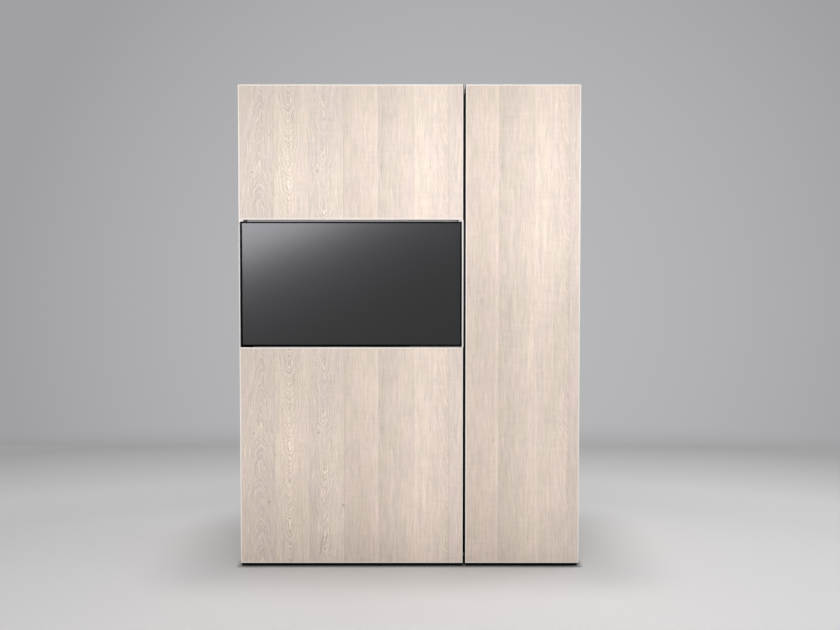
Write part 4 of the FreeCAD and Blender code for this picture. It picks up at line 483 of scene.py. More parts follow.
# Noise that bends the rings: its reach, its turns in a metre across and down, its detail and roughness.
RING_BEND = (0.020, 3.0, 2.2)
RING_RIPPLE = (0.006, 60.0, 30.0, 3.0, 0.6)
RING_WOBBLE = (1.3, 26.0, 12.0, 3.0)
RING_FADE = (34.0, 14.0, 3.0, 0.6)


def grey(shade):
    return (shade, shade, shade, 1.0)


RING_SHADES = [
    (0.0, grey(0.42)), (0.52, grey(0.30)), (0.73, grey(1.0)), (0.84, grey(1.0)), (1.0, grey(0.42)),
]


def by_plank(oak, spot, field):
    """The value that each plank has for one field, looked up by the plank's number."""
    numbers = [getattr(plank, field) for plank in PLANKS]
    low, high = min(numbers), max(numbers)
    greys = [grey((number - low) / (high - low)) for number in numbers]
    stops = [(place / len(PLANKS), shade) for place, shade in enumerate(greys)]
    return oak.level(oak.ramp(spot.pick, stops, steps=True), 0.0, 1.0, low, high)


def grain(oak, spot, busy, lazy, detail=2.0, rough=0.5):
    """Noise drawn out along the plank: busy and lazy are its turns in a metre across and down."""
    own_place = oak.times(spot.plank, PLANK_STEP)
    where = oak.point(oak.times(spot.across, busy), oak.times(spot.down, lazy), own_place)
    return oak.noise(where, 1.0, detail, rough)


def sway(oak, spot, reach, *turns):
    """The same noise, as a number from minus to plus its reach."""
    return oak.level(grain(oak, spot, *turns), 0.0, 1.0, -reach, reach)


def ring_lines(oak, spot):
    """The growth rings, pale in the limed pores and dark between them, about 0."""
    beside = oak.less(spot.inside, oak.times(by_plank(oak, spot, "heart"), PLANK_WIDTH))
    beside = oak.total(beside, sway(oak, spot, *RING_BEND), sway(oak, spot, *RING_RIPPLE))
    away = oak.reach(beside, HEART_ROUND)
    crowded = oak.calc("MULTIPLY_ADD", away, 1 / HEART_REACH, 1.0)
    path = oak.point(oak.times(spot.down, STRAY_PACE), oak.times(spot.plank, STRAY_STEP), 0.0)
    stray = oak.level(oak.noise(path, 1.0, 3.0, 0.55), 0.0, 1.0, -1.0, 1.0)
    stray = oak.times(stray, by_plank(oak, spot, "swing"))
    number = oak.calc("MULTIPLY_ADD", spot.down, by_plank(oak, spot, "rise"), stray)
    rings_out = oak.calc("DIVIDE", oak.times(away, crowded), by_plank(oak, spot, "spacing"))
    number = oak.total(number, rings_out, sway(oak, spot, *RING_WOBBLE))
    fine = oak.ramp(oak.calc("FRACT", number), RING_SHADES)
    bold = oak.ramp(oak.calc("FRACT", oak.times(number, BOLD_PACE)), RING_SHADES)
    lines = oak.less(oak.calc("MULTIPLY_ADD", bold, BOLD_SHARE, fine), LINE_MIDDLE)
    faded = oak.level(grain(oak, spot, *RING_FADE), 0.36, 0.62, 0.2, 1.0)
    near_heart = oak.level(away, HEART_REACH, HEART_FAR, 1.0, 0.15, smooth=True)
    return oak.times(lines, by_plank(oak, spot, "contrast"), faded, near_heart)


print(f"rings crowd together {HEART_REACH * 1000:.0f} mm from a heart line")

# %% [markdown]
# ## Streaks, fibres and knots
# Rings alone look drawn. Real oak also has long streaks, fine fibres, a cross figure that shimmers and
# slow clouds, and each is the same drawn-out noise at another size. So a table gives their sizes, and
# one loop multiplies them into the light of the wood. Knots and cracks are soft dark ovals. The seams
# between planks are a little darker, and the butt joints across some planks a little paler.

# %% The light of the wood
# busy, lazy, detail and rough: the noise. wanders: it follows the bent grain. low and high: the part
# of the noise that counts. first and last: the shades at its two ends.
Grain = namedtuple("Grain", "busy lazy detail rough wanders low high first last")
GRAINS = {
    "streaks": Grain(95.0, 3.4, 3.0, 0.6, True, 0.25, 0.75, 0.952, 1.048),
    "fibres": Grain(210.0, 12.0, 3.0, 0.65, True, 0.25, 0.75, 0.855, 1.145),
    "figure": Grain(15.0, 75.0, 2.0, 0.5, False, 0.3, 0.7, 0.976, 1.024),
    "bands": Grain(26.0, 1.3, 2.0, 0.5, True, 0.3, 0.7, 0.975, 1.025),
    "clouds": Grain(7.0, 3.0, 3.0, 0.5, False, 0.3, 0.7, 0.955, 1.045),
    "limed": Grain(70.0, 3.4, 2.0, 0.5, True, 0.60, 0.74, 1.0, 1.045),
}
GRAIN_WANDER = (0.010, 5.0, 3.5, 3.0)
RING_SPAN = (-0.8, 0.8)
RING_DARK, RING_PALE = 0.79, 1.215
PORE_DARK = 0.90
SEAM_DARK = 0.87
JOINT_PALE = 1.06
JOINT_HALF, JOINT_FADED = 0.0012, 0.0036


def grain_marks(oak, spot):
    """How dark the knots and cracks make a point, 0 to 1."""
    darks = [0.0]
    for mark in MARKS:
        below = oak.less(spot.down, mark.down)
        beside = oak.calc("MULTIPLY_ADD", below, -mark.lean, oak.less(spot.across, mark.across))
        away = oak.reach(oak.times(beside, 1 / mark.half_width), oak.times(below, 1 / mark.half_height))
        darks.append(oak.level(away, 0.25, 1.5, mark.dark, 0.0, smooth=True))
    return oak.chain("MAXIMUM", darks)


def plank_light(oak, spot, rings, pores, seam, joints):
    """How light a point of the wood is, about 1."""
    left, right = by_plank(oak, spot, "left"), by_plank(oak, spot, "right")
    light = oak.level(spot.inside, 0.0, PLANK_WIDTH, left, right)
    light = oak.times(light, oak.level(rings, *RING_SPAN, RING_DARK, RING_PALE))
    bent = spot._replace(across=oak.total(spot.across, sway(oak, spot, *GRAIN_WANDER)))
    for kind in GRAINS.values():
        pattern = grain(oak, bent if kind.wanders else spot, kind.busy, kind.lazy, kind.detail, kind.rough)
        light = oak.times(light, oak.level(pattern, kind.low, kind.high, kind.first, kind.last))
    light = oak.times(light, oak.level(pores, 0.0, 1.0, 1.0, PORE_DARK))
    for place, half_width, lighter in PALE_BANDS:
        band = oak.level(oak.off(spot.across, place), 0.0, half_width, 1.0 + lighter, 1.0, smooth=True)
        light = oak.times(light, band)
    light = oak.times(light, oak.level(seam, 0.0, 1.0, 1.0, SEAM_DARK))
    for number, place in joints:
        joint = oak.level(oak.off(spot.down, place), JOINT_HALF, JOINT_FADED, 1.0, 0.0)
        joint = oak.times(joint, oak.calc("COMPARE", spot.plank, number, 0.5))
        light = oak.times(light, oak.level(joint, 0.0, 1.0, 1.0, JOINT_PALE))
    return light


print(f"{len(GRAINS)} kinds of grain: {', '.join(GRAINS)}")

# %% [markdown]
# ## Dressing the three fronts
# The three fronts repeat one pattern, each from its own top edge, and the tall front starts further
# along it. So one function makes all three finishes from a shift and a top. A thin painted highlight
# runs round the edges of each front, and the two edges that meet in the middle carry black painted
# shade, for the shade in the gap between the leaves.

# %% Wire the oak of one front
RIGHT_REPEAT = 0.526
KNOT_BROWN = paint(120, 96, 80)
# The colour of the painted highlight along the fronts' edges.
EDGE_HIGHLIGHT_WHITE = paint(250, 243, 235)
# Black painted shade for the dark gap where the leaves meet and round the screen.
SHADE_BLACK = paint(6, 5, 5)
CREAM = (1.0, 1.006, 0.984, 1.0)
ROSE = (1.0, 0.982, 1.008, 1.0)
PORES = (620.0, 26.0)
HUES = (14.0, 5.0, 3.0)

# Butt joints of the tall front: the plank's number, and how far down, in metres.
BUTT_JOINTS = [(4, 0.127), (4, 1.045), (6, 0.238), (6, 0.795)]
SEAM_HALF, SEAM_FADED = 0.0004, 0.0016
# The painted highlight along the edges: its full width, where it has faded, and how much it covers.
EDGE_HIGHLIGHT_WIDTH, EDGE_HIGHLIGHT_FADED, EDGE_HIGHLIGHT_COVER = 0.0034, 0.0076, 0.92
# Painted shade at the meeting edge: how far it reaches onto the left fronts and onto the right front, and
# its soft edge.
LEFT_GAP_SHADE, RIGHT_GAP_SHADE, GAP_SHADE_SOFT = 0.0022, 0.0003, 0.0003


def to_rim(finish, x, z, low, high):
    """How far a point of an upright panel is from the nearest of its four edges."""
    sides = [finish.less(x, low.x), finish.less(high.x, x), finish.less(z, low.z), finish.less(high.z, z)]
    return finish.chain("MINIMUM", sides)


def oak_front(name, panel, shift, meets_right, joints=()):
    """The finish of one front: the shared plank pattern, read from the panel's own top, with a painted
    highlight along its edges and black painted shade along the edge that meets the other leaf.
    """
    low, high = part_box(panel)
    oak = Finish(name)
    x, _, z = oak.split(oak.place())
    across = oak.less(x, pattern_left + shift)
    plank = oak.calc("FLOOR", oak.times(across, 1 / PLANK_WIDTH))
    inside = oak.less(across, oak.times(plank, PLANK_WIDTH))
    pick = oak.times(oak.total(plank, 0.5), 1 / len(PLANKS))
    spot = Spot(across, inside, oak.less(high.z, z), plank, pick)

    rings = ring_lines(oak, spot)
    pores = oak.level(grain(oak, spot, *PORES), 0.60, 0.78)
    seam = oak.level(oak.calc("PINGPONG", across, PLANK_WIDTH / 2), SEAM_HALF, SEAM_FADED, 1.0, 0.0)
    marks = grain_marks(oak, spot)
    tone = oak.ramp(pick, [(n / len(PLANKS), plank.tone) for n, plank in enumerate(PLANKS)], steps=True)
    hue = oak.level(grain(oak, spot, *HUES), 0.35, 0.65)
    wood = oak.weigh(tone, oak.mix(hue, CREAM, ROSE))
    wood = oak.shade(wood, plank_light(oak, spot, rings, pores, seam, joints))
    wood = oak.mix(marks, wood, KNOT_BROWN)

    # A painted highlight along the four edges of the front.
    edge = oak.level(to_rim(oak, x, z, low, high), EDGE_HIGHLIGHT_WIDTH, EDGE_HIGHLIGHT_FADED, EDGE_HIGHLIGHT_COVER, 0.0)
    wood = oak.mix(edge, wood, EDGE_HIGHLIGHT_WHITE)
    # Black painted shade along the edge that meets the other leaf, where the gap lies in shade.
    meeting, gap_shade_width = (high.x, LEFT_GAP_SHADE) if meets_right else (low.x, RIGHT_GAP_SHADE)
    gap_shade = oak.level(oak.off(x, meeting), gap_shade_width, gap_shade_width + GAP_SHADE_SOFT, 1.0, 0.0)
    oak.drive(
        Base_Color=oak.mix(gap_shade, wood, SHADE_BLACK),
        Roughness=oak.level(rings, *RING_SPAN, 0.66, 0.54),
        Specular_IOR_Level=oak.level(gap_shade, 0.0, 1.0, 0.32, 0.0),
    )
    depths = ((rings, -0.3), (pores, -0.5), (seam, -1.0), (marks, -0.8))
    oak.emboss(oak.total(*[oak.times(dent, depth) for dent, depth in depths]), 0.0004)
    return oak


dress(oak_front("limed_oak_upper", "upper_front_panel", 0.0, True), "upper_front_panel")
dress(oak_front("limed_oak_lower", "lower_front_panel", 0.0, True), "lower_front_panel")
dress(oak_front("limed_oak_tall", "tall_front_panel", RIGHT_REPEAT, False, BUTT_JOINTS), "tall_front_panel")

# %% [markdown]
# ## Lacquered boards
# Behind the oak each leaf is a frame and a board in white lacquer. Sprayed lacquer is never quite flat:
# under a lamp it shows a fine orange peel. A fine noise as bump gives that, and a slower noise shifts
# the shade a little. The back of the unit has a duller paint with a coarser skin.

# %% Satin white lacquer
SATIN_WHITE = paint(232, 227, 221)


def lacquer(name, colour, gloss=0.42, peel=0.00004):
    coat = Finish(name)
    here = coat.place()
    fine = coat.noise(here, 420.0, 2.0)
    patches = coat.noise(here, 3.0, 3.0)
    coat.vary(colour, patches, (0.975, 1.015), fine, (0.2, 0.8), (gloss - 0.05, gloss + 0.07))
    coat.emboss(fine, peel)
    return coat


dress(lacquer("leaf_board_lacquer", SATIN_WHITE), "left_leaf_board", "right_leaf_board")
dress(lacquer("back_board_paint", paint(214, 211, 206), 0.62, 0.00009), "back_panel")

# %% [markdown]
# ## Painted shade on the leaf frames
# Where the two leaves meet, the front of the frame's edge carries black painted shade, as the oak does,
# so the joint between them reads as one dark line. Above the screen the recess under the upper front
# carries grey painted shade between two short ends of black painted shade, and black painted shade
# stands beside the screen's left end. All of it lies flush with the lacquer, so it is mixed into its
# finish by place.

# %% The leaf frames with their painted shade
# Grey painted shade for the recess above the screen, then its height below and above the screen's top.
HEAD_SHADE_GREY = paint(175, 169, 165)
HEAD_BELOW, HEAD_ABOVE = 0.003, 0.011
# Black painted shade beside the screen's left end: its width, and how much shorter it is than the screen.
SIDE_SHADE_WIDTH, SIDE_SHADE_SHORT = 0.0034, 0.001
# Black painted shade on the frames' meeting edges: how deep behind the oak it goes and its soft end, then
# its width and faded width.
GAP_SHADE_DEPTH, GAP_SHADE_FALLOFF = 0.036, 0.001
GAP_SHADE_REACH, GAP_SHADE_FADED = 0.0002, 0.0005

# The darker painted shade at the two ends of the grey: where each starts and ends across the unit, in
# metres.
HEAD_SHADE_ENDS = [(-0.725, -0.709), (0.2075, 0.213)]


def screen_shade(coat, finish, x, z):
    """Lays painted shade round the screen over a finish: grey above it, black at both ends of that, and
    black beside its left end.
    """
    low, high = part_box("screen_frame")
    (dark_start, grey_start), (grey_end, dark_end) = HEAD_SHADE_ENDS
    head = coat.between(z, high.z - HEAD_BELOW, high.z + HEAD_ABOVE)
    side_shade = coat.between(z, low.z + SIDE_SHADE_SHORT, high.z - SIDE_SHADE_SHORT)
    layers = [
        (head, coat.between(x, dark_start, dark_end), SHADE_BLACK),
        (head, coat.between(x, grey_start, grey_end), HEAD_SHADE_GREY),
        (side_shade, coat.between(x, low.x - SIDE_SHADE_WIDTH, 0.0), SHADE_BLACK),
    ]
    for tall, wide, colour in layers:
        finish = coat.mix(coat.times(tall, wide), finish, colour)
    return finish


def frame_lacquer(name, node, meets_right):
    """White lacquer, with black painted shade along the front of the side that meets the other leaf."""
    low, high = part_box(node)
    coat = lacquer(name, SATIN_WHITE)
    x, y, z = coat.split(coat.place())
    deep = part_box("tall_front_panel")[1].y + GAP_SHADE_DEPTH
    # Black painted shade on the meeting side, from the front to a little behind the oak.
    band = coat.level(coat.off(x, high.x if meets_right else low.x), GAP_SHADE_REACH, GAP_SHADE_FADED, 1.0, 0.0)
    band = coat.times(band, coat.level(y, deep, deep + GAP_SHADE_FALLOFF, 1.0, 0.0))
    white = coat.surface.inputs["Base Color"].links[0].from_socket
    finish = coat.mix(band, white, SHADE_BLACK)
    # The left leaf also carries the painted shade round the screen.
    if meets_right:
        finish = screen_shade(coat, finish, x, z)
    coat.drive(Base_Color=finish, Specular_IOR_Level=coat.level(band, 0.0, 1.0, 0.5, 0.0))
    return coat


dress(frame_lacquer("left_frame_lacquer", "left_leaf_frame", True), "left_leaf_frame")
dress(frame_lacquer("right_frame_lacquer", "right_leaf_frame", False), "right_leaf_frame")

# %% [markdown]
# ## The dark screen
# A switched-off screen is a sheet of coated glass over a dark layer. It is not a mirror: its anti-glare
# coat spreads each reflection into a soft glow. So the surface is nearly black with a low roughness,
# and a very fine grain in the roughness keeps the glow from looking like plastic wrap. The frame and the
# back are plastic from a spark-eroded mould: one colour, a fine even grain and slightly uneven gloss.

# %% Screen glass, frame and back
def screen_glass(name):
    glass = Finish(name, Specular_IOR_Level=0.55, IOR=1.5)
    here = glass.place()
    glass.drive(
        Base_Color=glass.mix(glass.noise(here, 2.2, 2.0), paint(39, 39, 40), paint(42, 42, 43)),
        Roughness=glass.level(glass.noise(here, 2600.0, 1.0), 0.2, 0.8, 0.17, 0.21),
    )
    return glass


def moulded_plastic(name, colour, gloss, grain_scale=900.0, grain_depth=0.00006, shine=0.5):
    plastic = Finish(name, Specular_IOR_Level=shine)
    here = plastic.place()
    fine = plastic.noise(here, grain_scale, 2.0)
    patches = plastic.noise(here, 11.0, 3.0)
    plastic.vary(colour, patches, (0.93, 1.06), fine, (0.25, 0.75), (gloss - 0.06, gloss + 0.08))
    plastic.emboss(fine, grain_depth)
    return plastic


dress(screen_glass("anti_glare_glass"), "screen_display")
bezel_black = moulded_plastic("screen_frame_black", paint(6, 6, 6), 0.55, shine=0.0)
dress(bezel_black, "screen_frame", "screen_power_key")
dress(moulded_plastic("screen_back_black", paint(26, 26, 27), 0.62, 500.0, 0.00012), "screen_back_cover")

# %% [markdown]
# ## Plain oak boards inside
# The carcass and shelves are oak-faced board too, but quieter: straight grain, a shade darker, no
# planks. Noise that is stretched a long way along one axis makes straight grain, so the one function
# needs to know only which way the board was laid. Uprights run along Z and shelves along X.

# %% Straight-grained oak
OAK_PALE = paint(228, 213, 198)
OAK_DARK = paint(203, 185, 167)


def oak_board(name, along):
    oak = Finish(name, Specular_IOR_Level=0.35)
    here = oak.place()
    fibres = oak.noise(oak.drawn(here, along, 1.3, 42.0), 1.0, 5.0, 0.62)
    pores = oak.level(oak.noise(oak.drawn(here, along, 24.0, 640.0), 1.0, 2.0), 0.58, 0.76)
    wood = oak.mix(oak.level(fibres, 0.30, 0.70), OAK_PALE, OAK_DARK)
    wood = oak.shade(wood, oak.level(pores, 0.0, 1.0, 1.0, 0.86))
    oak.drive(Base_Color=wood, Roughness=oak.level(fibres, 0.3, 0.7, 0.50, 0.62))
    oak.emboss(oak.total(oak.times(fibres, 0.3), oak.times(pores, -0.7)), 0.0003)
    return oak


dress(oak_board("oak_upright", "z"), "side_panels", "partition", "sliding_door_left", "sliding_door_right")
dress(
    oak_board("oak_level", "x"),
    "top_panel", "bottom_panel", "wall_unit_boards", "base_shelf", "larder_shelves", "worktop_cleats",
)

# %% [markdown]
# ## Worktop and splashback
# Compact laminate is pressed paper and resin with a fine speckle right through it. A cell texture gives
# the chips: each cell has a random shade, and a strip of colours decides that most chips are dark and a
# few are pale. The splashback is a smooth pale panel that only shows faint clouds and an even satin
# gloss, so it takes the lacquer with a finer peel.

# %% Speckled laminate and a satin panel
CHIP_SHADES = [
    (0.0, paint(44, 45, 47)),
    (0.62, paint(58, 59, 61)),
    (0.86, paint(74, 75, 77)),
    (0.95, paint(128, 128, 126)),
    (1.0, paint(150, 149, 145)),
]


def speckled_laminate(name):
    top = Finish(name, Specular_IOR_Level=0.4)
    here = top.place()
    fine = top.noise(here, 300.0, 3.0)
    top.drive(
        Base_Color=top.ramp(top.cells(here, 420.0), CHIP_SHADES),
        Roughness=top.level(fine, 0.3, 0.7, 0.40, 0.54),
    )
    top.emboss(fine, 0.00008)
    return top


dress(speckled_laminate("speckled_laminate"), "worktop")
dress(lacquer("splash_panel_satin", paint(206, 208, 207), 0.30, 0.00002), "splashback")

# %% [markdown]
# ## Metals
# Brushed steel is steel with thousands of fine scratches one way. Long thin noise in the roughness does
# most of it, and a trace of bump lets each scratch catch the lamp. Polished chrome is the same metal
# without scratches, but a perfectly even mirror looks fake, so a slow smear of roughness stands for
# water marks and finger wipes.

# %% Brushed, polished and plated metal
def brushed_metal(name, colour, along, gloss):
    metal = Finish(name, Metallic=1.0)
    here = metal.place()
    scratch = metal.noise(metal.drawn(here, along, 14.0, 900.0), 1.0, 3.0)
    clouds = metal.noise(here, 5.0, 2.0)
    metal.vary(colour, clouds, (0.95, 1.04), scratch, (0.25, 0.75), (gloss - 0.07, gloss + 0.12))
    metal.emboss(scratch, 0.00003)
    return metal


def polished_chrome(name):
    metal = Finish(name, Metallic=1.0, Base_Color=paint(232, 234, 236))
    smears = metal.noise(metal.place(), 30.0, 4.0, 0.6)
    metal.drive(Roughness=metal.level(smears, 0.35, 0.75, 0.05, 0.16))
    return metal


dress(brushed_metal("brushed_sink_steel", paint(205, 207, 209), "x", 0.27), "sink_bowl", "sink_strainer")
dress(polished_chrome("polished_chrome"), "tap_body", "tap_spout", "tap_lever")
aluminium = brushed_metal("anodised_aluminium", paint(214, 215, 216), "x", 0.38)
dress(aluminium, "sliding_door_tracks", "hood_visor")
dress(
    brushed_metal("nickel_plate", paint(196, 194, 189), "z", 0.26),
    "hinge_frame_wings", "hinge_pins", "left_hinge_leaf_wings", "right_hinge_leaf_wings",
    "wall_brackets", "shelf_pins",
)

# %% [markdown]
# ## The hob
# A glass hob shows its cooking zones as printed rings. Rings are circles about a centre, so the distance
# from that centre is all the pattern needs: a thin band of distances is printed pale, the rest stays
# black glass. The two zones share the length of the plate behind the knobs.

# %% Black glass with printed zones
ZONE_INSET = 0.27
SMALL_ZONE, LARGE_ZONE = 0.17, 0.215

# The circles of one zone: share of its radius, and width of the printed line in metres.
ZONE_CIRCLES = [(1.0, 0.0022), (0.93, 0.0010), (0.12, 0.0010)]


def hob_glass(name):
    low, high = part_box("hob_plate")
    free_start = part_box("hob_knob_left")[1].y
    free = high.y - free_start
    middle = (low.x + high.x) / 2
    zones = [
        (free_start + free * ZONE_INSET, free * SMALL_ZONE),
        (high.y - free * ZONE_INSET, free * LARGE_ZONE),
    ]
    glass = Finish(name, Specular_IOR_Level=0.6, Coat_Weight=0.4, Coat_Roughness=0.03)
    here = glass.place()
    x, y, _ = glass.split(here)
    circles = [0.0]
    for centre, radius in zones:
        away = glass.reach(glass.less(x, middle), glass.less(y, centre))
        for share, line in ZONE_CIRCLES:
            circles.append(glass.level(glass.off(away, radius * share), line * 0.5, line * 0.8, 1.0, 0.0))
    dust = glass.level(glass.noise(here, 1500.0, 1.0), 0.70, 0.80)
    black = glass.mix(dust, paint(11, 11, 12), paint(22, 22, 23))
    smears = glass.noise(here, 18.0, 4.0, 0.6)
    glass.drive(
        Base_Color=glass.mix(glass.chain("MAXIMUM", circles), black, paint(132, 133, 135)),
        Roughness=glass.level(smears, 0.35, 0.8, 0.05, 0.20),
    )
    return glass


dress(hob_glass("printed_black_glass"), "hob_plate")

# %% [markdown]
# ## Knobs and a dial
# A knob needs a pointer, or nobody could read it. The pointer is printed, so it belongs in the finish: a
# thin bar from the middle towards the front. The finish reads the piece's own coordinates, so the bar
# turns with the knob.

# %% Pointers that turn with their knobs
BAR_HALF, BAR_FADED = 0.075, 0.095
BAR_START, BAR_FULL = 0.22, 0.25
PRINT_DEPTH, PRINT_END = 0.002, 0.004


def knob_plastic(name, node, colour, mark, face_up):
    low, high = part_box(node)
    radius = (high.x - low.x) / 2
    knob = Finish(name)
    here = knob.place()
    x, y, z = knob.split(here)
    beside = knob.off(x, (low.x + high.x) / 2)
    ahead = knob.less((low.y + high.y) / 2, y)
    below_face = knob.off(z, high.z if face_up else low.z)
    on_bar = knob.times(
        knob.level(beside, radius * BAR_HALF, radius * BAR_FADED, 1.0, 0.0),
        knob.level(ahead, radius * BAR_START, radius * BAR_FULL),
        knob.level(below_face, PRINT_DEPTH, PRINT_END, 1.0, 0.0),
    )
    fine = knob.noise(here, 1100.0, 2.0)
    body = knob.shade(colour, knob.level(knob.noise(here, 60.0, 2.0), 0.3, 0.7, 0.93, 1.06))
    knob.drive(Base_Color=knob.mix(on_bar, body, mark), Roughness=knob.level(fine, 0.25, 0.75, 0.36, 0.50))
    knob.emboss(fine, 0.00003)
    return knob


for side in ("left", "right"):
    node = f"hob_knob_{side}"
    knob = knob_plastic(f"knob_satin_black_{side}", node, paint(30, 30, 31), paint(225, 225, 222), True)
    dress(knob, node)
dial = knob_plastic("dial_white", "fridge_dial", paint(226, 228, 228), paint(84, 96, 108), False)
dress(dial, "fridge_dial")

# %% [markdown]
# ## Sheet metal with a coat
# The hood, the trays and the brackets are bent sheet with baked powder paint. Powder melts into a skin of
# tiny hills, coarser than sprayed lacquer. The hob's housing has no paint: hot-dip zinc leaves a mosaic
# of crystals, which is another job for a cell texture, this time in the roughness as well.

# %% Powder coat and zinc
def powder_coat(name, colour, gloss=0.48):
    coat = Finish(name)
    here = coat.place()
    hills = coat.noise(here, 700.0, 3.0, 0.6)
    patches = coat.noise(here, 6.0, 2.0)
    coat.vary(colour, patches, (0.96, 1.03), hills, (0.3, 0.7), (gloss - 0.06, gloss + 0.08))
    coat.emboss(hills, 0.00014)
    return coat


def zinc_sheet(name):
    zinc = Finish(name, Metallic=1.0)
    crystals = zinc.cells(zinc.place(), 95.0)
    zinc.drive(
        Base_Color=zinc.ramp(crystals, [(0.0, paint(150, 153, 156)), (1.0, paint(196, 199, 201))]),
        Roughness=zinc.level(crystals, 0.0, 1.0, 0.34, 0.56),
    )
    return zinc


dress(powder_coat("hood_grey_coat", paint(196, 198, 199)), "hood_casing")
dress(powder_coat("tray_white_coat", paint(230, 229, 226), 0.42), "left_leaf_trays", "right_leaf_trays")
dress(powder_coat("bracket_black_coat", paint(33, 33, 34), 0.55), "screen_bracket")
dress(powder_coat("compressor_black_coat", paint(24, 24, 25), 0.36), "fridge_compressor")
dress(zinc_sheet("zinc_sheet"), "hob_housing")

# %% [markdown]
# ## The hood's grease filter
# The filter is a cassette of woven aluminium strips. Real weaving would need thousands of strips, so the
# finish crosses two sets of waves instead: where one passes over, the other dips. The same waves paint
# shade into the colour, darker in the dips, so the mesh also reads from a distance.

# %% A woven metal mesh
def woven_mesh(name, pitch):
    mesh = Finish(name, Metallic=1.0)
    x, y, _ = mesh.split(mesh.place())
    waves = [mesh.calc("SINE", mesh.times(along, math.tau / pitch)) for along in (x, y)]
    weave = mesh.level(mesh.times(*waves), -0.6, 0.6)
    # Painted shade: the weave is darker where it dips.
    mesh.drive(
        Base_Color=mesh.mix(weave, paint(108, 110, 112), paint(214, 215, 216)),
        Roughness=mesh.level(weave, 0.0, 1.0, 0.5, 0.3),
    )
    mesh.emboss(weave, 0.0007)
    return mesh


dress(woven_mesh("woven_filter_mesh", 0.006), "hood_filter")
dress(moulded_plastic("blower_black", paint(34, 34, 35), 0.5), "hood_blower")
dress(moulded_plastic("button_black", paint(24, 24, 25), 0.34), "hood_fan_button", "hood_light_button")

# %% [markdown]
# ## The strip lamp
# A lamp profile is aluminium with a milky cover snapped into it. Both are one piece of the model, so the
# finish tells them apart by height: what lies in the lowest third is cover, the rest is metal.

# %% Aluminium profile with a milky cover
COVER_END, METAL_START = 0.30, 0.36


def lamp_profile(name):
    low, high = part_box("strip_lamp")
    tall = high.z - low.z
    lamp = Finish(name)
    here = lamp.place()
    _, _, z = lamp.split(here)
    cover = lamp.level(z, low.z + tall * COVER_END, low.z + tall * METAL_START, 1.0, 0.0)
    scratch = lamp.noise(lamp.drawn(here, "x", 12.0, 800.0), 1.0, 2.0)
    lamp.drive(
        Base_Color=lamp.mix(cover, paint(206, 207, 208), paint(240, 241, 238)),
        Metallic=lamp.less(1.0, cover),
        Roughness=lamp.level(scratch, 0.25, 0.75, 0.32, 0.46),
    )
    return lamp


dress(lamp_profile("lamp_profile"), "strip_lamp")

# %% [markdown]
# ## Inside the refrigerator
# The cabinet is one piece with two finishes: painted steel outside, and a glossy moulded liner where the
# walls face the food. Whether a point is inside follows from the walls' thickness, so the finish tests
# that, and mixes the two. The door's inner face is all liner, so a glossy lacquer is enough for it.

# %% Painted steel and a moulded liner
FRIDGE_WALL = 0.038
LINER_DEPTH = FRIDGE_WALL * 0.7
LINER_SOFT = FRIDGE_WALL * 0.1


def fridge_walls(name):
    low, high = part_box("fridge_cabinet")
    walls = Finish(name)
    here = walls.place()
    x, _, z = walls.split(here)
    inside = walls.times(
        walls.between(x, low.x + LINER_DEPTH, high.x - LINER_DEPTH, LINER_SOFT),
        walls.between(z, low.z + LINER_DEPTH, high.z - LINER_DEPTH, LINER_SOFT),
    )
    hills = walls.noise(here, 500.0, 2.0)
    colour = walls.mix(inside, paint(202, 204, 205), paint(236, 239, 239))
    smooth = walls.total(inside, walls.times(hills, 0.2))
    walls.vary(colour, walls.noise(here, 4.0, 2.0), (0.975, 1.01), smooth, (0.0, 1.2), (0.46, 0.22))
    walls.emboss(hills, 0.00004)
    return walls


dress(fridge_walls("fridge_walls"), "fridge_cabinet")
dress(lacquer("fridge_door_liner", paint(236, 239, 239), 0.24, 0.00003), "fridge_door")

# %% [markdown]
# ## Shelves, bins and a seal
# The shelves are clear glass with a few smears, and the door bins are cloudy plastic: both let light
# through, and the bins scatter more of it by their roughness. The seal is soft grey rubber with fine ribs
# that run round the door. The distance to the nearest edge is the same all along a rib, so a sine wave
# over that distance draws them.

# %% Glass, cloudy plastic and ribbed rubber
def shelf_glass(name):
    glass = Finish(name, Transmission_Weight=0.9, IOR=1.5)
    smears = glass.noise(glass.place(), 14.0, 3.0)
    glass.drive(
        Base_Color=glass.mix(smears, paint(214, 236, 229), paint(226, 242, 237)),
        Roughness=glass.level(smears, 0.3, 0.8, 0.02, 0.12),
    )
    return glass


def cloudy_plastic(name):
    plastic = Finish(name, Transmission_Weight=0.55, IOR=1.49)
    here = plastic.place()
    fine = plastic.noise(here, 700.0, 2.0)
    plastic.drive(
        Base_Color=plastic.mix(plastic.noise(here, 9.0, 3.0), paint(222, 231, 233), paint(236, 242, 243)),
        Roughness=plastic.level(fine, 0.3, 0.7, 0.20, 0.34),
    )
    plastic.emboss(fine, 0.00003)
    return plastic


def ribbed_rubber(name, colour, rib):
    rubber = Finish(name, Specular_IOR_Level=0.3)
    here = rubber.place()
    x, _, z = rubber.split(here)
    to_edge = to_rim(rubber, x, z, *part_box("fridge_gasket"))
    ribs = rubber.calc("SINE", rubber.times(to_edge, math.tau / rib))
    dust = rubber.noise(here, 120.0, 3.0)
    rubber.vary(colour, dust, (0.92, 1.05), dust, (0.3, 0.7), (0.66, 0.82))
    rubber.emboss(rubber.level(ribs, -1.0, 1.0), 0.0006)
    return rubber


dress(shelf_glass("shelf_glass"), "fridge_shelves")
dress(cloudy_plastic("cloudy_bin_plastic"), "fridge_door_bins")
dress(ribbed_rubber("seal_rubber", paint(186, 187, 186), 0.004), "fridge_gasket")

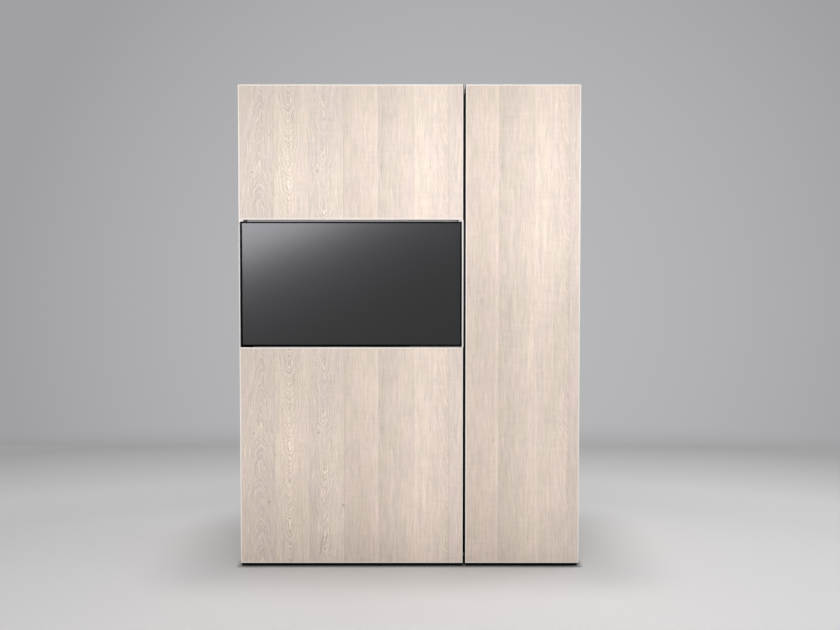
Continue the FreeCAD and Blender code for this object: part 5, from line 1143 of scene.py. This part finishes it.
# %% [markdown]
# ## Plastic fittings
# What is left is moulded plastic: the feet, the bottle trap and the double socket. Each gets the same
# maker's recipe with its own colour and gloss. The socket is glossy, the trap is milky, and the feet are
# nearly black.

# %% Feet, trap and socket
dress(moulded_plastic("foot_black", paint(20, 20, 21), 0.55, 400.0, 0.00015), "levelling_feet")
dress(moulded_plastic("trap_white", paint(228, 228, 224), 0.36, 260.0, 0.00005), "sink_trap")
dress(moulded_plastic("socket_white", paint(238, 238, 235), 0.16, 300.0, 0.00001), "wall_socket")

# %% [markdown]
# ## Making the small fittings
# The seals, screws and contacts are too fine for the packed model, so they are made here. Each could be
# built from ready-made shapes, but most are a section drawn out along a line, or rings set one on the
# other. So one helper joins rings of corners, and another turns the mesh into a piece that moves with a
# body of the model.

# %% Rings of corners, and a piece that rides
def join_rings(mesh, outlines):
    """Sets out rings of corners and joins each to the next, corner to corner."""
    rings = [[mesh.verts.new(corner) for corner in outline] for outline in outlines]
    count = len(rings[0])
    for ring, following in zip(rings, rings[1:]):
        for i in range(count):
            after = (i + 1) % count
            mesh.faces.new((ring[i], ring[after], following[after], following[i]))
    return rings


def add_prism(mesh, lower, upper):
    """Joins two rings of corners into a closed prism."""
    first, last = join_rings(mesh, (lower, upper))
    mesh.faces.new(list(reversed(first)))
    mesh.faces.new(last)


def finish_piece(name, mesh, finish, body, smooth=False):
    """Turns a bmesh into a piece that rides on a body of the model."""
    bmesh.ops.recalc_face_normals(mesh, faces=mesh.faces)
    data = bpy.data.meshes.new(name)
    mesh.to_mesh(data)
    mesh.free()
    for face in data.polygons:
        face.use_smooth = smooth
    data.materials.append(finish.material)
    piece = bpy.data.objects.new(name, data)
    scene.collection.objects.link(piece)
    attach(piece, body)
    print(f"{name}: {len(data.polygons)} faces, rides on {body}")


# %% [markdown]
# ## Brush seals under the leaves
# Under both leaves the gap to the floor lies in shade. A black brush seal stands in for that shade as a
# dark band: a black strip screwed under the leaf, with a comb of bristles that nearly sweeps the floor
# and keeps dust out. The strip is one profile drawn out along the leaf. The bristles stand in small
# tufts, each a four-sided spike that leans its own way, so that the comb isn't a plain box. Three sine
# waves that never fall in step set the leans, so every run gives the same comb.

# %% Make a strip with tufts
STRIP_FRONT = 0.0045
STRIP_DEPTH = 0.009
STRIP_HEIGHT = 0.005
STRIP_CHAMFER = 0.0012
STRIP_INSET = 0.002
FLOOR_PLAY = 0.0015
TUFT_PITCH = 0.0028
TUFT_INSET = 0.004
TUFT_HOLD = 0.0005
ROOT_HALF = (0.0013, 0.0022)
TIP_HALF = (0.0011, 0.0028)

# Each wave: how far it moves the tip, in metres, and its angle from tuft to tuft.
LEAN_WAVE, FORWARD_WAVE, LENGTH_WAVE = (0.0006, 2.4), (0.0010, 1.7), (0.0006, 5.1)


def level_oblong(x, y, z, half_x, half_y):
    return [(x + i * half_x, y + j * half_y, z) for i, j in ((-1, -1), (1, -1), (1, 1), (-1, 1))]


def shading_brush_seal(name, panel, body, finish):
    low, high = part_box(panel)
    front = low.y + STRIP_FRONT
    back = front + STRIP_DEPTH
    middle = (front + back) / 2
    top, bottom = low.z, low.z - STRIP_HEIGHT
    profile = [
        (front, top), (front, bottom + STRIP_CHAMFER), (front + STRIP_CHAMFER, bottom),
        (back - STRIP_CHAMFER, bottom), (back, bottom + STRIP_CHAMFER), (back, top),
    ]
    mesh = bmesh.new()
    add_prism(mesh, *[[(x, y, z) for y, z in profile] for x in (low.x + STRIP_INSET, high.x - STRIP_INSET)])
    for number in range(int((high.x - low.x - 2 * TUFT_INSET) / TUFT_PITCH)):
        waves = [far * math.sin(number * angle) for far, angle in (LEAN_WAVE, FORWARD_WAVE, LENGTH_WAVE)]
        lean, forward, longer = waves
        x = low.x + TUFT_INSET + (number + 0.5) * TUFT_PITCH
        foot = FLOOR_PLAY + LENGTH_WAVE[0] + longer
        tip = level_oblong(x + lean, middle + forward, foot, *TIP_HALF)
        root = level_oblong(x, middle, bottom + TUFT_HOLD, *ROOT_HALF)
        add_prism(mesh, tip, root)
    finish_piece(name, mesh, finish, body)


# Black that stands in for the shade in the gap under the leaves.
brush_black = moulded_plastic("brush_black", paint(11, 11, 11), 0.6, 700.0, 0.0001, shine=0.05)
shading_brush_seal("left_shading_brush_seal", "lower_front_panel", "left_leaf", brush_black)
shading_brush_seal("right_shading_brush_seal", "tall_front_panel", "right_leaf", brush_black)

# %% [markdown]
# ## A seal between the leaves and a bead at the sink
# Both leaves close on the front edge of the partition. A soft black rubber strip with a D-shaped section
# lies there, glued on: it stops the rattle, and its black stands in for the shade deep in the joint, so
# the joint is a black line from the front. Where the worktop meets the splash panel a fitter draws a bead
# of silicone with a wet finger, which leaves a hollow fillet. Both are a section drawn out along one
# line, so the same prism makes them.

# %% Draw out two sections
D_HALF_WIDTH = 0.0065
D_HEIGHT = 0.0034
D_STEPS = 10
D_INSET = 0.002
BEAD_SIZE = 0.0055
BEAD_STEPS = 6

low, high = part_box("partition")
middle = (low.x + high.x) / 2
half_turn = [math.pi * step / D_STEPS for step in range(D_STEPS + 1)]
section = [(middle + D_HALF_WIDTH * math.cos(a), low.y - D_HEIGHT * math.sin(a)) for a in half_turn]
mesh = bmesh.new()
add_prism(mesh, *[[(x, y, z) for x, y in section] for z in (low.z + D_INSET, high.z - D_INSET)])
# Black that stands in for the shade deep in the joint between the leaves.
seal_shade_black = moulded_plastic("partition_seal_black", paint(7, 7, 7), 0.62, 900.0, 0.00005, shine=0.0)
finish_piece("partition_seal", mesh, seal_shade_black, "cabinet", smooth=True)

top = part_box("worktop")[1].z
low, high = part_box("splashback")
hollow = [math.pi / 2 * step / BEAD_STEPS for step in range(BEAD_STEPS + 1)]
section = [(low.y - BEAD_SIZE * (1 - math.sin(a)), top + BEAD_SIZE * (1 - math.cos(a))) for a in hollow]
section.append((low.y, top))
mesh = bmesh.new()
add_prism(mesh, *[[(x, y, z) for y, z in section] for x in (low.x, high.x)])
silicone = moulded_plastic("silicone_grey", paint(198, 200, 199), 0.28, 60.0, 0.00008)
finish_piece("silicone_bead", mesh, silicone, "cabinet", smooth=True)

# %% [markdown]
# ## Screws that hold the trays
# Each tray hangs on pan-head screws with a cross recess. The recess is what makes a screw look like one,
# so it is modelled: twelve corners go round the cross, and every ring of the head has twelve corners at
# the same angles. Then the rings join corner to corner, and the last ring drops into the metal.

# %% Make pan-head screws
CROSS_LONG = 0.0021
CROSS_SHORT = 0.0005
HEAD_RINGS = [(0.0042, 0.0), (0.0041, 0.0009), (0.0036, 0.0017), (0.0026, 0.0022)]
RECESS_TOP = 0.0023
RECESS_FLOOR = 0.0008
RECESS_TAPER = 0.8
INNER_CORNERS = (1, 4, 7, 10)

quarter = [(CROSS_LONG, CROSS_SHORT), (CROSS_SHORT, CROSS_SHORT), (CROSS_SHORT, CROSS_LONG)]
cross = []
for turn in range(4):
    cosine, sine = round(math.cos(turn * math.pi / 2)), round(math.sin(turn * math.pi / 2))
    cross += [(u * cosine - v * sine, u * sine + v * cosine) for u, v in quarter]


def add_screw(mesh, x, y, z):
    """A pan head that stands on the plane at y and faces into the unit."""
    outlines = []
    for radius, height in HEAD_RINGS:
        ring = [(radius * u / math.hypot(u, v), radius * v / math.hypot(u, v), height) for u, v in cross]
        outlines.append(ring)
    outlines.append([(u, v, RECESS_TOP) for u, v in cross])
    outlines.append([(u * RECESS_TAPER, v * RECESS_TAPER, RECESS_FLOOR) for u, v in cross])
    placed = [[(x + u, y + height, z + v) for u, v, height in outline] for outline in outlines]
    floor_ring = join_rings(mesh, placed)[-1]
    mesh.faces.new([floor_ring[i] for i in INNER_CORNERS])
    for i in INNER_CORNERS:
        mesh.faces.new([floor_ring[(i + step) % len(cross)] for step in range(4)])


TRAYS = 3
TRAY_BACK = 0.070
TRAY_WALL = 0.002
SCREW_INSET = 0.05
SCREW_HEIGHT = 0.059
screw_zinc = zinc_sheet("screw_zinc")
for name, body, columns in (("left_leaf_trays", "left_leaf", 4), ("right_leaf_trays", "right_leaf", 3)):
    low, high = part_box(name)
    pitch = (high.z - low.z - TRAY_BACK) / (TRAYS - 1)
    mesh = bmesh.new()
    for row in range(TRAYS):
        for column in range(columns):
            x = low.x + SCREW_INSET + (high.x - low.x - 2 * SCREW_INSET) * column / (columns - 1)
            add_screw(mesh, x, low.y + TRAY_WALL, low.z + row * pitch + SCREW_HEIGHT)
    finish_piece(name.replace("trays", "tray_screws"), mesh, screw_zinc, body)

# %% [markdown]
# ## Contacts in the double socket
# At the bottom of each round cup are two sleeves for the pins, and at its top and bottom a bent spring
# clip for the earth. The sleeves are short tubes: a ring of corners pushed out, in and back again. Each
# clip is a strip with a nose.

# %% Make sleeves and earth clips
CUP_RADIUS = 0.022
CUP_DEPTH = 0.008
CUP_SHIFT = 0.003
SLEEVE_OFFSET = 0.0095
SLEEVE_STEPS = [(0.0034, 0.0), (0.0034, 0.0012), (0.0024, 0.0012), (0.0024, 0.0)]
SLEEVE_SIDES = 20
CLIP_HALF_WIDTH = 0.003
CLIP_PLAY = 0.0004

# The clip seen from its side: out from the cup's floor, and in from the cup's wall, in metres.
CLIP_SIDE = [
    (0.0, 0.0), (0.0, 0.0035), (0.003, 0.0045), (0.0065, 0.0025), (0.0065, 0.0015), (0.003, 0.0035),
]

low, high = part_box("wall_socket")
cup_floor = low.y + CUP_DEPTH
middle_z = (low.z + high.z) / 2
cup_inset = (high.x - low.x) / 4 + CUP_SHIFT
turns = [math.tau * step / SLEEVE_SIDES for step in range(SLEEVE_SIDES)]
wall = CUP_RADIUS - CLIP_PLAY
sleeves = bmesh.new()
clips = bmesh.new()
for cup_x in (low.x + cup_inset, high.x - cup_inset):
    for side in (-1, 1):
        x = cup_x + side * SLEEVE_OFFSET
        join_rings(sleeves, [
            [(x + far * math.cos(a), cup_floor - out, middle_z + far * math.sin(a)) for a in turns]
            for far, out in SLEEVE_STEPS
        ])
        add_prism(clips, *[
            [(cup_x + half, cup_floor - out, middle_z + side * (wall - far)) for out, far in CLIP_SIDE]
            for half in (-CLIP_HALF_WIDTH, CLIP_HALF_WIDTH)
        ])
sleeve_grey = moulded_plastic("sleeve_grey", paint(52, 53, 54), 0.4)
finish_piece("socket_sleeves", sleeves, sleeve_grey, "cabinet")
finish_piece("socket_earth_clips", clips, screw_zinc, "cabinet")

# %% [markdown]
# ## Is anything still bare?
# With sixty pieces it is easy to forget one, and a forgotten piece would show the plain grey of the
# packed model. The dress function kept a list of the names it was given, so the rest is easy to find.

# %% Check that every piece is dressed
bare = [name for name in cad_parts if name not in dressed]
print(f"{len(dressed)} pieces dressed, still bare: {bare}")

# %% [markdown]
# ## A finish must not make the object bigger.
